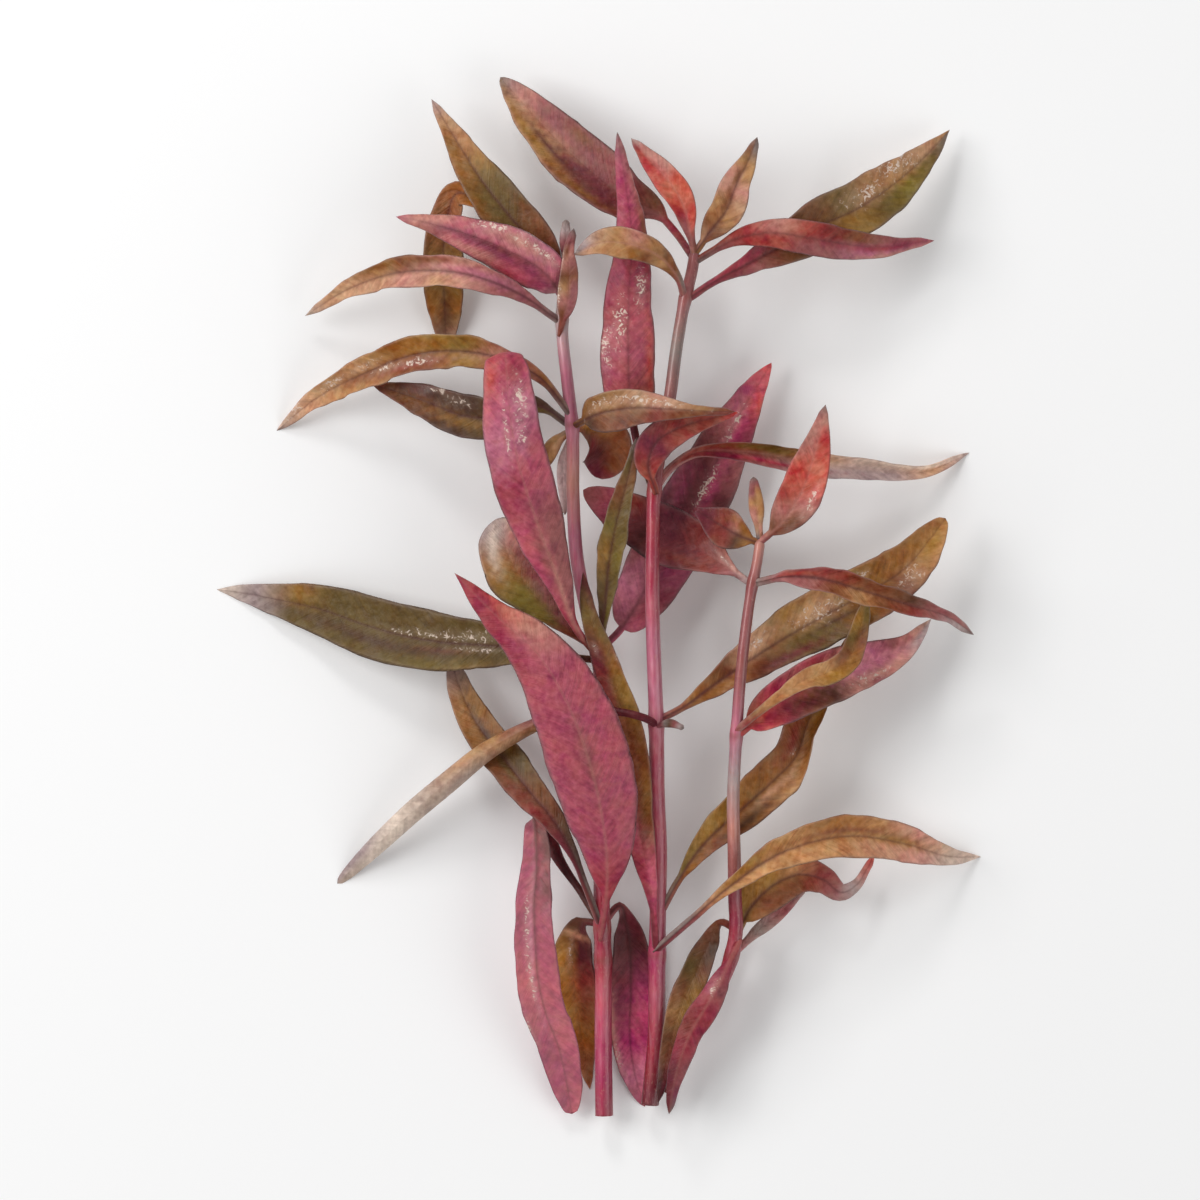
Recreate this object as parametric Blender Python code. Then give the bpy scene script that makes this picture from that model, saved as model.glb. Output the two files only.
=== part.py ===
"""A cut bunch of alternanthera, lying down.

Three cut stems meet at the lower end of the bunch. Long lance-shaped leaves stand
on them at the nodes, mostly in opposite pairs, and each stem ends in young leaves
or a bud. The bunch lies on the ground plane: the stems run along +Y from their cut
ends, and the outer leaves arch down until their tips rest on the ground.

Every leaf is one solid, and so is every stem. A leaf hangs on a midrib, a smooth
curve through a few points. Its two half blades leave the midrib at angles that may
change along it, which folds, twists or rolls the blade.
"""

from typing import NamedTuple

import bmesh
import bpy
import numpy as np

# Driving dimensions, in millimetres. The tables below are written for a bunch as long
# as TABLE_LENGTH, and BUNCH_LENGTH scales the whole bunch.
TABLE_LENGTH = 208.8
BUNCH_LENGTH = 208.8
MM = 0.001 * BUNCH_LENGTH / TABLE_LENGTH
BLADE_THICKNESS = 0.9
BUD_THICKNESS = 1.8
PETIOLE_HALF_WIDTH = 0.75
STEM_GAP = 0.3
STEM_RADIUS_LOW = 1.8
STEM_RADIUS_TOP = 1.15
NODE_SWELLING = 0.22
NODE_LENGTH = 1.8

# A petiole is never wider than this share of its blade, it melts into the blade where
# the blade has STALK_FADE of its full width left to grow, and it ends in the last
# STALK_END of the leaf. The blade gets thinner over the last TIP_THINNING of it.
PETIOLE_SHARE = 0.6
STALK_FADE = 0.2
STALK_END = 0.06
TIP_THINNING = 0.12

# The points below are measured from the middle of the picture plane. The middle of
# the bunch lies a little to the left of that and above it.
CENTRE_X = -0.2
CENTRE_Y = 0.6

# How finely a solid is cut, and how fast a blade settles back to level after a fold.
# A leaf that needs no more than FEW_POINTS is short.
BLADE_STATIONS = 12
SHORT_STATIONS = 7
FEW_POINTS = 4
ACROSS = (-1.0, -0.5, 0.0, 0.5, 1.0)
PATH_SAMPLES = 240
STEM_STATIONS = 24
STEM_BEVEL_RESOLUTION = 2
LEVELLING = 0.05


class Stem(NamedTuple):
    """A stem: points along its middle from the cut end up, and where its nodes are (Y)."""

    path: tuple
    nodes: tuple


class Leaf(NamedTuple):
    """A leaf: its stem, its tone, points along its midrib and the full width of its blade.

    left and right are the angles of the half blades, in degrees, from base to tip.
    Above zero a half blade rises from the midrib, below zero it droops.
    petiole and widest are fractions of the length; base and tip say how sharply
    the blade narrows at its ends, where a small value is blunt.
    """

    stem: str
    tone: str
    path: tuple
    width: float
    left: tuple = (15, 15)
    right: tuple = (15, 15)
    petiole: float = 0.08
    widest: float = 0.48
    base: float = 1.1
    tip: float = 1.0


STEMS = {
    "stem_left": Stem(
        path=(
            (0.8, -103.4, 4.6), (0.6, -88, 6.2), (0.6, -72, 8.2), (0.4, -65.6, 9.4),
            (0.2, -50, 12), (0, -32, 14.6), (-0.4, -11, 17.4), (-2.4, -3, 18),
            (-4.6, 8, 18), (-5.4, 20, 18), (-5.6, 35, 18.4), (-6.6, 44, 18.4),
            (-7.6, 54, 18.2), (-7.4, 61, 18), (-7.0, 66.4, 18),
        ),
        nodes=(-72, -65.6, -11, 35, 56),
    ),
    "stem_middle": Stem(
        path=(
            (10.0, -101.2, 4.2), (11.2, -88, 6.2), (11.4, -72, 9), (11.6, -60, 11.6),
            (11.8, -50, 13.2), (11.4, -40, 15), (11.2, -24.4, 18), (10.6, -8, 20.4),
            (10.4, 0, 21.2), (10.5, 12, 21.8), (10.8, 22, 21.8), (11.8, 29, 21.4),
            (12.8, 34.4, 21), (14, 41, 20.8), (15.2, 50, 20.4), (17, 60.2, 20),
            (18.4, 66, 19.6), (19, 69.8, 19.4),
        ),
        nodes=(-71, -24.4, 22, 60.4),
    ),
    "stem_right": Stem(
        path=(
            (13.4, -98.8, 6.4), (16.8, -90, 6.8), (22.6, -80, 8.2), (26.4, -71, 10),
            (27.2, -66, 11.4), (27, -60, 13), (26.8, -50, 15.2), (26.6, -40, 17.2),
            (27.2, -27, 20), (27.8, -18, 21.2), (28.8, -8, 22), (30.2, 2, 22),
            (31.4, 8, 21.8), (32, 12.2, 21.6),
        ),
        nodes=(-71, -27, 3.4),
    ),
}

LEFT, MIDDLE, RIGHT = STEMS

LEAVES = {
    # Left stem, first node from the bottom
    "leaf_left_1_front": Leaf(
        LEFT, "pink",
        ((0.4, -65.6, 12.2), (1.2, -60, 16), (1.4, -52.4, 19.5), (0.2, -42, 24), (-2.4, -31.4, 27),
         (-6.8, -20, 29), (-13, -10, 29.5), (-20.6, -3.2, 29), (-29, 5.4, 27)),
        17.2, (-12, -12), (-12, -12), widest=0.45,
    ),
    "leaf_left_1_droop": Leaf(
        LEFT, "pink",
        ((0, -64.6, 10.6), (-4.2, -58, 9), (-8.2, -52, 7.8), (-11.4, -46, 7.4),
         (-13, -43.8, 9.4), (-12.8, -45.6, 12.2), (-12.6, -53, 12.8), (-13.2, -61, 12.8),
         (-13, -68, 12.2), (-12.4, -76, 11), (-10.8, -83, 9.4), (-8.5, -89, 7.6),
         (-6.9, -96, 5), (-5.6, -103.2, 2.6)),
        9, (-15, -15), (-15, -15), widest=0.7, base=0.5, tip=0.4,
    ),
    "leaf_left_1_back": Leaf(
        LEFT, "orange",
        ((0, -65, 8.5), (-3.2, -64.6, 6.8), (-5, -69, 4.8), (-4.8, -80, 3), (-3.4, -89, 1.4),
         (-2, -98.4, -0.3)),
        8.8, (10, 10), (6, 6), widest=0.42, base=0.6,
    ),
    "leaf_left_1_right": Leaf(
        LEFT, "maroon",
        ((0.6, -65, 9), (3.8, -61.4, 7.4), (5.4, -66, 5.8), (6.2, -78, 4), (6, -88, 2.4),
         (7.2, -96, 1), (9, -101.8, -0.3)),
        8.8, (6, 6), (12, 12), widest=0.5, base=0.6, tip=0.6,
    ),
    "leaf_left_1_up": Leaf(
        LEFT, "orange",
        ((0, -65, 10.6), (-2.6, -58, 13), (-6, -49.6, 15.4), (-9.8, -43.4, 15.6),
         (-13.6, -38.9, 14.4), (-17.6, -33.8, 12.2), (-25.7, -23, 7.4), (-29, -15, 4.6),
         (-30, -11.6, 3.8)),
        8, (12, 12), (12, 12), petiole=0.16, widest=0.6, tip=0.5,
    ),
    # Left stem, second node
    "leaf_left_2_left": Leaf(
        LEFT, "olive",
        ((-0.2, -12, 16.5), (-6, -11.4, 16), (-16, -9.6, 14.5), (-24, -9, 13), (-30, -8.6, 11.6),
         (-40, -7, 8.6), (-48, -4.7, 6), (-55, -2.2, 4), (-64, -0.1, 1.8), (-73, 1.6, 0.2),
         (-77, 2.1, -0.3)),
        12.8, (10, 10), (10, 10), widest=0.52, base=0.8, tip=0.9,
    ),
    "leaf_left_2_right": Leaf(
        LEFT, "maroon",
        ((0, -10, 16.4), (4, -6, 14), (9.2, 2.4, 10.5), (15.2, 13, 9.5), (21.6, 24.4, 9.5),
         (27.6, 36.4, 9), (34.4, 47.6, 5)),
        14, (-12, -12), (-12, -12), petiole=0.1, widest=0.45, base=0.5, tip=0.75,
    ),
    "leaf_left_2_front": Leaf(
        LEFT, "pink",
        ((-0.6, -11, 19.6), (-4.6, -6, 22.5), (-8, 3, 26), (-12.6, 15.6, 29.5), (-16.4, 28, 31),
         (-17.8, 36, 31), (-18.4, 43, 30.2), (-18.8, 48.6, 28.4), (-18.8, 49.2, 25.6),
         (-18.6, 47.4, 24)),
        12.2, (-10, -10), (-10, -10), widest=0.56, tip=0.35,
    ),
    "leaf_left_2_round": Leaf(
        LEFT, "olive",
        ((-1, -9.4, 18.4), (-6.4, -6, 20), (-13.6, 1.6, 21), (-18.6, 9.6, 19.5), (-19.4, 16.6, 16)),
        12.8, (18, 18), (18, 18), widest=0.65, tip=0.6,
    ),
    "leaf_left_2_up": Leaf(
        LEFT, "olive",
        ((0, -9, 18.2), (0.8, -3.6, 18.8), (1.6, 6, 19.8), (3.4, 16, 21.4), (5.6, 24.4, 22.2),
         (7.4, 32.6, 22)),
        5.8, (20, 20), (20, 20),
    ),
    # Left stem, third node
    "leaf_left_3_left": Leaf(
        LEFT, "orange",
        ((-5.4, 36.4, 19), (-12, 44.4, 20), (-22, 48.8, 20), (-34, 49.5, 18), (-40, 48.2, 15.4),
         (-46, 45.8, 12), (-56, 41, 5.4), (-65, 34, -0.3)),
        8, (25, 25), (25, 25), tip=0.8,
    ),
    "leaf_left_3_lower": Leaf(
        LEFT, "olive",
        ((-5.2, 34.4, 18), (-13.4, 39, 17.4), (-21, 36.4, 16.6), (-27, 36.8, 15.4), (-35, 39.8, 13),
         (-46, 43.4, 8)),
        9, widest=0.5,
    ),
    "leaf_left_3_right": Leaf(
        LEFT, "orange",
        ((-4.8, 35, 19.5), (-2, 36.4, 22.5), (0, 37.2, 24.4), (4, 38, 26), (8, 38.3, 27),
         (12, 38.1, 27.5), (19, 37.7, 27), (27, 37.5, 25)),
        8.6, widest=0.3, base=1.2, tip=1.6,
    ),
    "leaf_left_3_back": Leaf(
        LEFT, "maroon",
        ((-4.6, 34.4, 17), (-1.4, 33.6, 13.5), (0.9, 30.6, 9.5), (0.4, 24.2, 5)),
        11.4, widest=0.5, base=0.7, tip=0.6,
    ),
    "leaf_left_3_small": Leaf(
        LEFT, "orange",
        ((-5.6, 34, 17.5), (-8.8, 31.6, 17), (-11, 28, 16), (-12.4, 23, 15)),
        3.4,
    ),
    "leaf_left_3_thin": Leaf(
        LEFT, "maroon",
        ((-5.6, 33, 17), (-7.2, 28.4, 15.4), (-7.4, 23, 14.4), (-7, 17, 14)),
        2.4,
    ),
    # Left stem, top
    "leaf_left_4_upper": Leaf(
        LEFT, "pink",
        ((-7.6, 60.6, 19), (-11, 65.2, 22), (-14, 67.4, 22.8), (-20, 70.4, 23), (-26, 72.8, 22),
         (-32, 74.6, 20), (-37, 75.9, 17.6), (-40.8, 76.6, 16)),
        10.2, (-12, -12), (-12, -12), petiole=0.04, widest=0.3, base=0.7, tip=0.7,
    ),
    "leaf_left_4_lower": Leaf(
        LEFT, "orange",
        ((-8, 55.6, 18.5), (-16, 61, 22), (-26, 64.8, 24), (-38, 65.6, 20), (-49, 62.8, 12),
         (-59.2, 57, 4)),
        6.8, (20, 20), (20, 20), base=0.9,
    ),
    "leaf_left_5_left": Leaf(
        LEFT, "olive",
        ((-7.4, 64, 17.5), (-11.8, 69.4, 17.5), (-17.8, 76.4, 17), (-23.6, 83.8, 15.5),
         (-28.4, 91.4, 12.5), (-33.8, 100.4, 8)),
        10.2, petiole=0.04, widest=0.34, base=0.7, tip=0.95,
    ),
    "leaf_left_5_back": Leaf(
        LEFT, "orange",
        ((-7.6, 62.4, 16.6), (-17, 72, 13), (-24, 79.8, 10.8), (-28.6, 81.4, 9.4),
         (-30.6, 76.4, 8), (-31.4, 68.4, 6.2), (-31.2, 60, 3.4), (-30.8, 49.6, -0.3)),
        8.6, widest=0.7, tip=0.7,
    ),
    "leaf_left_bud_tall": Leaf(
        LEFT, "red",
        ((-7.6, 55.2, 19.8), (-6.4, 60.4, 21.4), (-6.2, 65, 21.4), (-6.2, 69.4, 20.8),
         (-5.2, 74.2, 20.2)),
        4.2, petiole=0.04, widest=0.34, tip=0.9,
    ),
    "leaf_left_bud_short": Leaf(
        LEFT, "red",
        ((-7, 66.4, 18), (-6.9, 71, 18.6), (-6.8, 76, 18.2)),
        2.4, widest=0.5, tip=0.6,
    ),
    # Middle stem, first node from the bottom
    "leaf_middle_1_right": Leaf(
        MIDDLE, "orange",
        ((11.8, -69.6, 11), (16.8, -65.2, 13.5), (26, -57.2, 17.5), (36, -50.6, 19.5), (49, -47.2, 18),
         (61, -48.8, 12), (70, -51.4, 4.6), (76.6, -51.6, -0.3)),
        9, (18, 18), (18, 18), petiole=0.14, widest=0.6,
    ),
    "leaf_middle_1_up": Leaf(
        MIDDLE, "orange",
        ((11.8, -63.4, 11.2), (15.2, -57, 12.4), (20.1, -49.7, 13), (28.8, -41.5, 12.6),
         (33.9, -36.9, 11.8), (39.4, -31, 10.6), (41.4, -25.2, 9.6), (45, -17.6, 8.4),
         (49.4, -10.6, 6.8), (51.6, -5, 5.6)),
        9.8, (15, 15), (15, 15, 15, 15, 12, 20, 62, 62, 55, 45, 40),
        petiole=0.1, widest=0.52, base=0.8, tip=0.75,
    ),
    "leaf_middle_1_left": Leaf(
        MIDDLE, "olive",
        ((11.2, -69.4, 10.8), (10.8, -63, 13.2), (10, -57, 14.6), (8.8, -51, 15.8), (7.6, -44, 17),
         (6.8, -36, 18.2), (6, -29, 19.2), (4.6, -23, 19.8), (2.6, -17, 20.4), (0.6, -11, 21.4),
         (-1.4, -5.6, 22), (-2.6, -0.6, 21.8), (-3.4, 5.6, 21.5)),
        7, (10, 10), (10, 10), petiole=0.1, widest=0.5, base=0.8, tip=0.7,
    ),
    # Middle stem, second node
    "leaf_middle_2_right": Leaf(
        MIDDLE, "orange",
        ((11.6, -24, 18.5), (16.6, -21.4, 18.2), (23.3, -16.6, 17), (36, -8.2, 15), (44, -3.6, 14.4),
         (52.4, 0.9, 14), (61, 6.3, 13), (66.2, 12.4, 11.4), (69.2, 16.4, 10)),
        12.8, (18, 18), (18, 18), petiole=0.06, widest=0.6, base=0.65, tip=0.55,
    ),
    "leaf_middle_2_left": Leaf(
        MIDDLE, "pale",
        ((10.8, -24.6, 19.6), (9, -23.6, 22.5), (3, -22.2, 23), (-7, -23, 20.4), (-13.2, -25, 18.2),
         (-17.6, -27.2, 17.3), (-23.6, -30.8, 15.2), (-30.6, -36.6, 12), (-38.2, -43, 8.6),
         (-44.4, -48.8, 5.4), (-52.8, -57, -0.3)),
        7.4, (-58, -56, -50), (-58, -56, -50), widest=0.62, base=0.8, tip=0.4,
    ),
    "bud_middle": Leaf(
        MIDDLE, "orange",
        ((11.4, -25.2, 19), (14, -24.6, 20.5), (16.8, -25.6, 21)),
        1.8,
    ),
    # Middle stem, third node
    "leaf_middle_3_up": Leaf(
        MIDDLE, "red",
        ((11, 22, 23.5), (9.6, 27, 24.5), (11.2, 31.4, 25), (15.6, 34.2, 24.5), (21.2, 36, 23.5),
         (27.6, 37.4, 22)),
        7.2, (10, 10), (10, 10), widest=0.38,
    ),
    "leaf_middle_3_right": Leaf(
        MIDDLE, "pale",
        ((11, 22, 21), (13.4, 25.6, 20.5), (18, 29, 18.5), (29, 29.6, 17), (41, 27.6, 13.5),
         (54, 26.3, 8.6), (65, 25.8, 4), (74.2, 29.6, -0.3)),
        7, (50, 50), (40, 40),
    ),
    "leaf_middle_3_tall": Leaf(
        MIDDLE, "pink",
        ((10.6, 22, 21), (8, 29, 20.5), (6.2, 38, 21), (5.6, 50, 22), (5.8, 62, 22.5),
         (6.4, 72, 22.5), (5.2, 82, 22.5), (3.4, 93.4, 21.5)),
        11.4, (-15, -15), (-20, -20), petiole=0.2, widest=0.35, base=0.5, tip=0.8,
    ),
    # Middle stem, top
    "leaf_middle_4_left": Leaf(
        MIDDLE, "orange",
        ((16.8, 60.2, 20), (15.6, 64.2, 23.5), (11.8, 68.4, 26), (6.4, 70.8, 27), (0.4, 71.2, 26),
         (-5.2, 68.8, 23.5)),
        6.6, widest=0.6,
    ),
    "leaf_middle_4_right": Leaf(
        MIDDLE, "olive",
        ((17.4, 60, 20), (22.6, 63.4, 20.5), (30.2, 67.4, 18.8), (38, 71.6, 16.8), (44.4, 75, 15),
         (51.2, 78.1, 13), (58.7, 83.2, 9.6), (64.8, 88.5, 6.6), (70.2, 94.4, 4)),
        11.8, (18, 18), (18, 18), petiole=0.08, widest=0.58, base=0.9, tip=1.05,
    ),
    "leaf_middle_5_left": Leaf(
        MIDDLE, "olive",
        ((18.4, 68.6, 19), (15, 73.6, 18.4), (11.6, 77.2, 18.2), (4.8, 80.6, 17.4), (-0.8, 84.8, 16.4),
         (-6.8, 90.1, 14), (-12.9, 96.6, 11), (-20, 104.8, 7)),
        12.4, (22, 22), (10, 10), petiole=0.16, widest=0.5, base=1, tip=0.65,
    ),
    "leaf_middle_5_red": Leaf(
        MIDDLE, "red",
        ((18.8, 69.4, 19.8), (18, 73, 22.2), (16.5, 78.9, 22.8), (12.7, 84.8, 22.2),
         (9.7, 88.1, 21.4), (6.2, 92.2, 20)),
        5.9, (12, 12), (12, 12), widest=0.52,
    ),
    "leaf_middle_5_up": Leaf(
        MIDDLE, "orange",
        ((19.2, 69.6, 19.8), (21.6, 73, 21), (25.3, 77.9, 22.4), (27.2, 82.9, 22.6),
         (29.7, 87.9, 22.2), (31.4, 92.4, 21.4)),
        7, widest=0.42,
    ),
    "leaf_middle_5_right": Leaf(
        MIDDLE, "red",
        ((18.8, 67.4, 19.6), (22, 69.4, 20.4), (26, 71.6, 21.6), (33, 73.2, 22.4), (43, 72, 21.2),
         (54, 70.6, 16.6), (67, 72, 9)),
        7, (-10, -10), (-10, -10),
    ),
    # Right stem, first node from the bottom
    "leaf_right_1_front": Leaf(
        RIGHT, "pink",
        ((27, -70.2, 12.6), (25, -74.2, 14.8), (22.2, -79.6, 15), (17.9, -87, 13.8),
         (15.6, -93.4, 12.4), (13.8, -103, 9.8)),
        5.6, (-15, -15), (-15, -15), widest=0.42, base=0.9, tip=0.8,
    ),
    "leaf_right_1_left": Leaf(
        RIGHT, "olive",
        ((27.2, -66, 11.2), (24.2, -64.6, 8.4), (21.6, -69.4, 7.4), (18.6, -76, 8.2), (16.4, -81, 9),
         (14.8, -86, 9.4), (13.6, -91, 9.2), (12.6, -96, 9), (11.6, -101, 8)),
        6, (10, 10), (10, 10), widest=0.4,
    ),
    "leaf_right_1_right": Leaf(
        RIGHT, "orange",
        ((27.4, -67, 10), (30.6, -61, 10.6), (35, -57, 10.6), (40, -55, 10), (44.6, -56, 8.8),
         (48.6, -58.6, 7.6), (51.4, -57, 6.6), (53.4, -54, 6), (55.2, -50.6, 5.6)),
        9.2, widest=0.33, base=0.9, tip=1.6,
    ),
    "leaf_right_1_low": Leaf(
        RIGHT, "pale",
        ((27.2, -70.4, 9), (32.4, -65.6, 7.4), (37.6, -61.2, 6.8), (41.4, -57.4, 6.4)),
        3,
    ),
    # Right stem, second node
    "leaf_right_2_right": Leaf(
        RIGHT, "red",
        ((27.6, -27, 20.6), (30.6, -24.6, 20.4), (34.9, -21.3, 19.6), (41.2, -17.8, 17.6),
         (48.5, -14.4, 15), (55.4, -12.1, 12.6), (61.1, -9.4, 10.4), (66.4, -3.8, 8)),
        10.8, (5, 5), (12, 12), petiole=0.05, widest=0.45, base=0.45,
    ),
    "leaf_right_2_over": Leaf(
        RIGHT, "olive",
        ((27.4, -25.8, 21), (31.4, -22.6, 22.4), (36, -19, 22.2), (41, -16, 21), (46, -14.2, 19.6),
         (49.4, -12, 18.8), (51.2, -8.6, 18), (52.2, -4.6, 17.4), (53.2, 0.4, 16.6)),
        5.2, (20, 20), (20, 20), petiole=0.1, widest=0.6, tip=0.6,
    ),
    # Right stem, third node
    "leaf_right_3_left": Leaf(
        RIGHT, "maroon",
        ((30, 3.4, 21), (25.6, 6.4, 19), (19.6, 10, 16), (11.4, 13.8, 15), (3.6, 18, 14.5),
         (-3.4, 22, 14)),
        12, (12, 12), (12, 12), widest=0.5, tip=0.6,
    ),
    "leaf_right_3_right": Leaf(
        RIGHT, "red",
        ((30.8, 3.4, 22.4), (36.4, 4.6, 24), (43, 4.4, 25), (52, 2, 24.5), (61, -0.8, 22),
         (69, -3.2, 18), (74.8, -7, 14)),
        6.5, (35, 35), (35, 35), widest=0.4,
    ),
    # Right stem, top
    "leaf_right_4_left": Leaf(
        RIGHT, "orange",
        ((31.8, 11.4, 21.4), (28, 12.7, 21.2), (23.6, 15.2, 20.7), (18.6, 18.2, 20)),
        8, base=0.9, tip=1.2,
    ),
    "leaf_right_4_right": Leaf(
        RIGHT, "red",
        ((32, 11.6, 21.8), (35.8, 15, 23), (39.8, 20.8, 24), (42.8, 29.6, 24), (45, 39, 22)),
        9, (12, 12), (12, 12), widest=0.42, base=0.9,
    ),
    "bud_right": Leaf(
        RIGHT, "red",
        ((31.9, 12.4, 21.6), (31.2, 18.6, 22), (30.6, 24.6, 22)),
        3.2, widest=0.5, tip=0.6,
    ),
}

STEM_COLOUR = (0.55, 0.16, 0.22, 1.0)
TONES = {
    "pink": (0.45, 0.11, 0.15, 1.0),
    "red": (0.42, 0.10, 0.07, 1.0),
    "maroon": (0.17, 0.04, 0.06, 1.0),
    "orange": (0.31, 0.15, 0.05, 1.0),
    "olive": (0.20, 0.12, 0.04, 1.0),
    "pale": (0.42, 0.24, 0.17, 1.0),
}
LEAF_ROUGHNESS = 0.32
STEM_ROUGHNESS = 0.38


def clear_scene():
    for thing in list(bpy.data.objects):
        bpy.data.objects.remove(thing, do_unlink=True)


def material(name, colour, roughness):
    """A plain principled material, made once for each name."""
    found = bpy.data.materials.get(name)
    if found:
        return found
    made = bpy.data.materials.new(name)
    made.use_nodes = True
    shader = made.node_tree.nodes["Principled BSDF"]
    shader.inputs["Base Color"].default_value = colour
    shader.inputs["Roughness"].default_value = roughness
    shader.inputs["Metallic"].default_value = 0.0
    return made


def placed(points):
    """The given points with the middle of the bunch moved to the origin."""
    return np.array(points, float) - (CENTRE_X, CENTRE_Y, 0.0)


def hermite(values, knots, at):
    """Values of a smooth curve through the given ones, read at other knots."""
    values = np.asarray(values, float)
    slopes = np.gradient(values, knots, axis=0)
    piece = np.clip(np.searchsorted(knots, at, side="right") - 1, 0, len(knots) - 2)
    span = knots[piece + 1] - knots[piece]
    t = (at - knots[piece]) / span
    shape = (-1,) + (1,) * (values.ndim - 1)
    t, span = t.reshape(shape), span.reshape(shape)
    start, end = values[piece], values[piece + 1]
    leave, arrive = slopes[piece] * span, slopes[piece + 1] * span
    return (
        (2 * t**3 - 3 * t**2 + 1) * start
        + (t**3 - 2 * t**2 + t) * leave
        + (3 * t**2 - 2 * t**3) * end
        + (t**3 - t**2) * arrive
    )


def smooth_path(points):
    """Evenly spaced points along a smooth curve through the given points."""
    points = np.asarray(points, float)
    knots = np.concatenate([[0.0], np.cumsum(np.linalg.norm(np.diff(points, axis=0), axis=1))])
    curve = hermite(points, knots, np.linspace(0.0, knots[-1], PATH_SAMPLES))
    walked = np.concatenate([[0.0], np.cumsum(np.linalg.norm(np.diff(curve, axis=0), axis=1))])
    even = np.linspace(0.0, walked[-1], PATH_SAMPLES)
    return np.stack([np.interp(even, walked, curve[:, axis]) for axis in range(3)], axis=1)


def unit(vector):
    return vector / np.linalg.norm(vector)


def frames(path):
    """Tangent, left side and upper side at each point of a path.

    The side turns as little as possible and settles back to level, so a leaf that
    folds over itself lies flat again after the fold.
    """
    tangents = np.gradient(path, axis=0)
    tangents /= np.linalg.norm(tangents, axis=1)[:, None]
    side = unit(np.cross((0.0, 0.0, 1.0), tangents[0]))
    sides = []
    for tangent in tangents:
        side = unit(side - tangent * side.dot(tangent))
        level = np.cross((0.0, 0.0, 1.0), tangent)
        side = unit(side + LEVELLING * np.sign(side.dot(level)) * level)
        sides.append(side)
    sides = np.array(sides)
    return tangents, sides, np.cross(tangents, sides)


def stem_radius(stem, path):
    """The radius along a stem: it tapers to the top and swells at the nodes."""
    walked = np.linspace(0.0, 1.0, len(path))
    radius = STEM_RADIUS_LOW + (STEM_RADIUS_TOP - STEM_RADIUS_LOW) * walked
    for node in stem.nodes:
        radius += NODE_SWELLING * np.exp(-(((path[:, 1] - (node - CENTRE_Y)) / NODE_LENGTH) ** 2))
    return radius


def blade_profile(leaf, along):
    """Half the width of the blade, from the petiole to the tip, as a fraction of its widest."""
    blade = np.clip((along - leaf.petiole) / (1.0 - leaf.petiole), 0.0, 1.0)
    widest = (leaf.widest - leaf.petiole) / (1.0 - leaf.petiole)
    wave = np.sin(np.pi * blade ** (np.log(0.5) / np.log(widest)))
    sharpness = np.where(blade < widest, leaf.base, leaf.tip)
    return np.clip(wave, 0.0, 1.0) ** sharpness


def petiole_half_width(leaf):
    return min(PETIOLE_HALF_WIDTH, PETIOLE_SHARE * leaf.width / 2)


def half_widths(leaf, along):
    """Half the width of the leaf at each place along it, petiole and blade together."""
    half = leaf.width / 2
    blade = half * blade_profile(leaf, along)
    stalk = petiole_half_width(leaf) * np.clip((1.0 - along) / STALK_END, 0.0, 1.0)
    return np.hypot(blade, stalk * np.clip(1.0 + STALK_FADE - blade / half, 0.0, 1.0))


def trimmed(leaf, path, stems, thickness):
    """The path without the start whose cross-section would touch the stem."""
    axis, radius = stems[leaf.stem]
    _, sides, ups = frames(path)
    half = petiole_half_width(leaf)
    gaps = []
    for across, over in ((-1, 0), (1, 0), (0, -1), (0, 1)):
        corner = path + across * half * sides + over * thickness / 2 * ups
        apart = np.linalg.norm(corner[:, None, :] - axis[None, :, :], axis=2)
        gaps.append((apart - radius[None, :]).min(axis=1))
    clear = np.min(gaps, axis=0) > STEM_GAP
    return path[int(np.argmax(clear)):]


def blade_sheet(leaf, path, stations, across):
    """Points of the blade's middle surface and its upper directions, station by station."""
    path = smooth_path(path)
    tangents, sides, ups = frames(path)
    along = np.linspace(0.0, 1.0, stations)
    picked = along * (len(path) - 1)
    index = np.arange(len(path))

    def at(values):
        return np.stack([np.interp(picked, index, values[:, axis]) for axis in range(3)], axis=1)

    middle, side, up = at(path), at(sides), at(ups)
    half = half_widths(leaf, along)
    angles = []
    for given in (leaf.left, leaf.right):
        knots = np.linspace(0.0, 1.0, len(given))
        angles.append(np.radians(hermite(given, knots, along)))
    sheet = np.empty((stations, len(across), 3))
    normals = np.empty_like(sheet)
    for column, v in enumerate(across):
        angle = angles[0] if v < 0 else angles[1]
        turn = -1.0 if v < 0 else 1.0
        reach = (abs(v) * half)[:, None]
        outward = -turn * np.cos(angle)[:, None] * side + np.sin(angle)[:, None] * up
        sheet[:, column] = middle + reach * outward
        if v == 0:
            normals[:, column] = up
        else:
            tilt = turn * np.sin(angle)[:, None] * side + np.cos(angle)[:, None] * up
            normals[:, column] = tilt
    return sheet, normals


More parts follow.
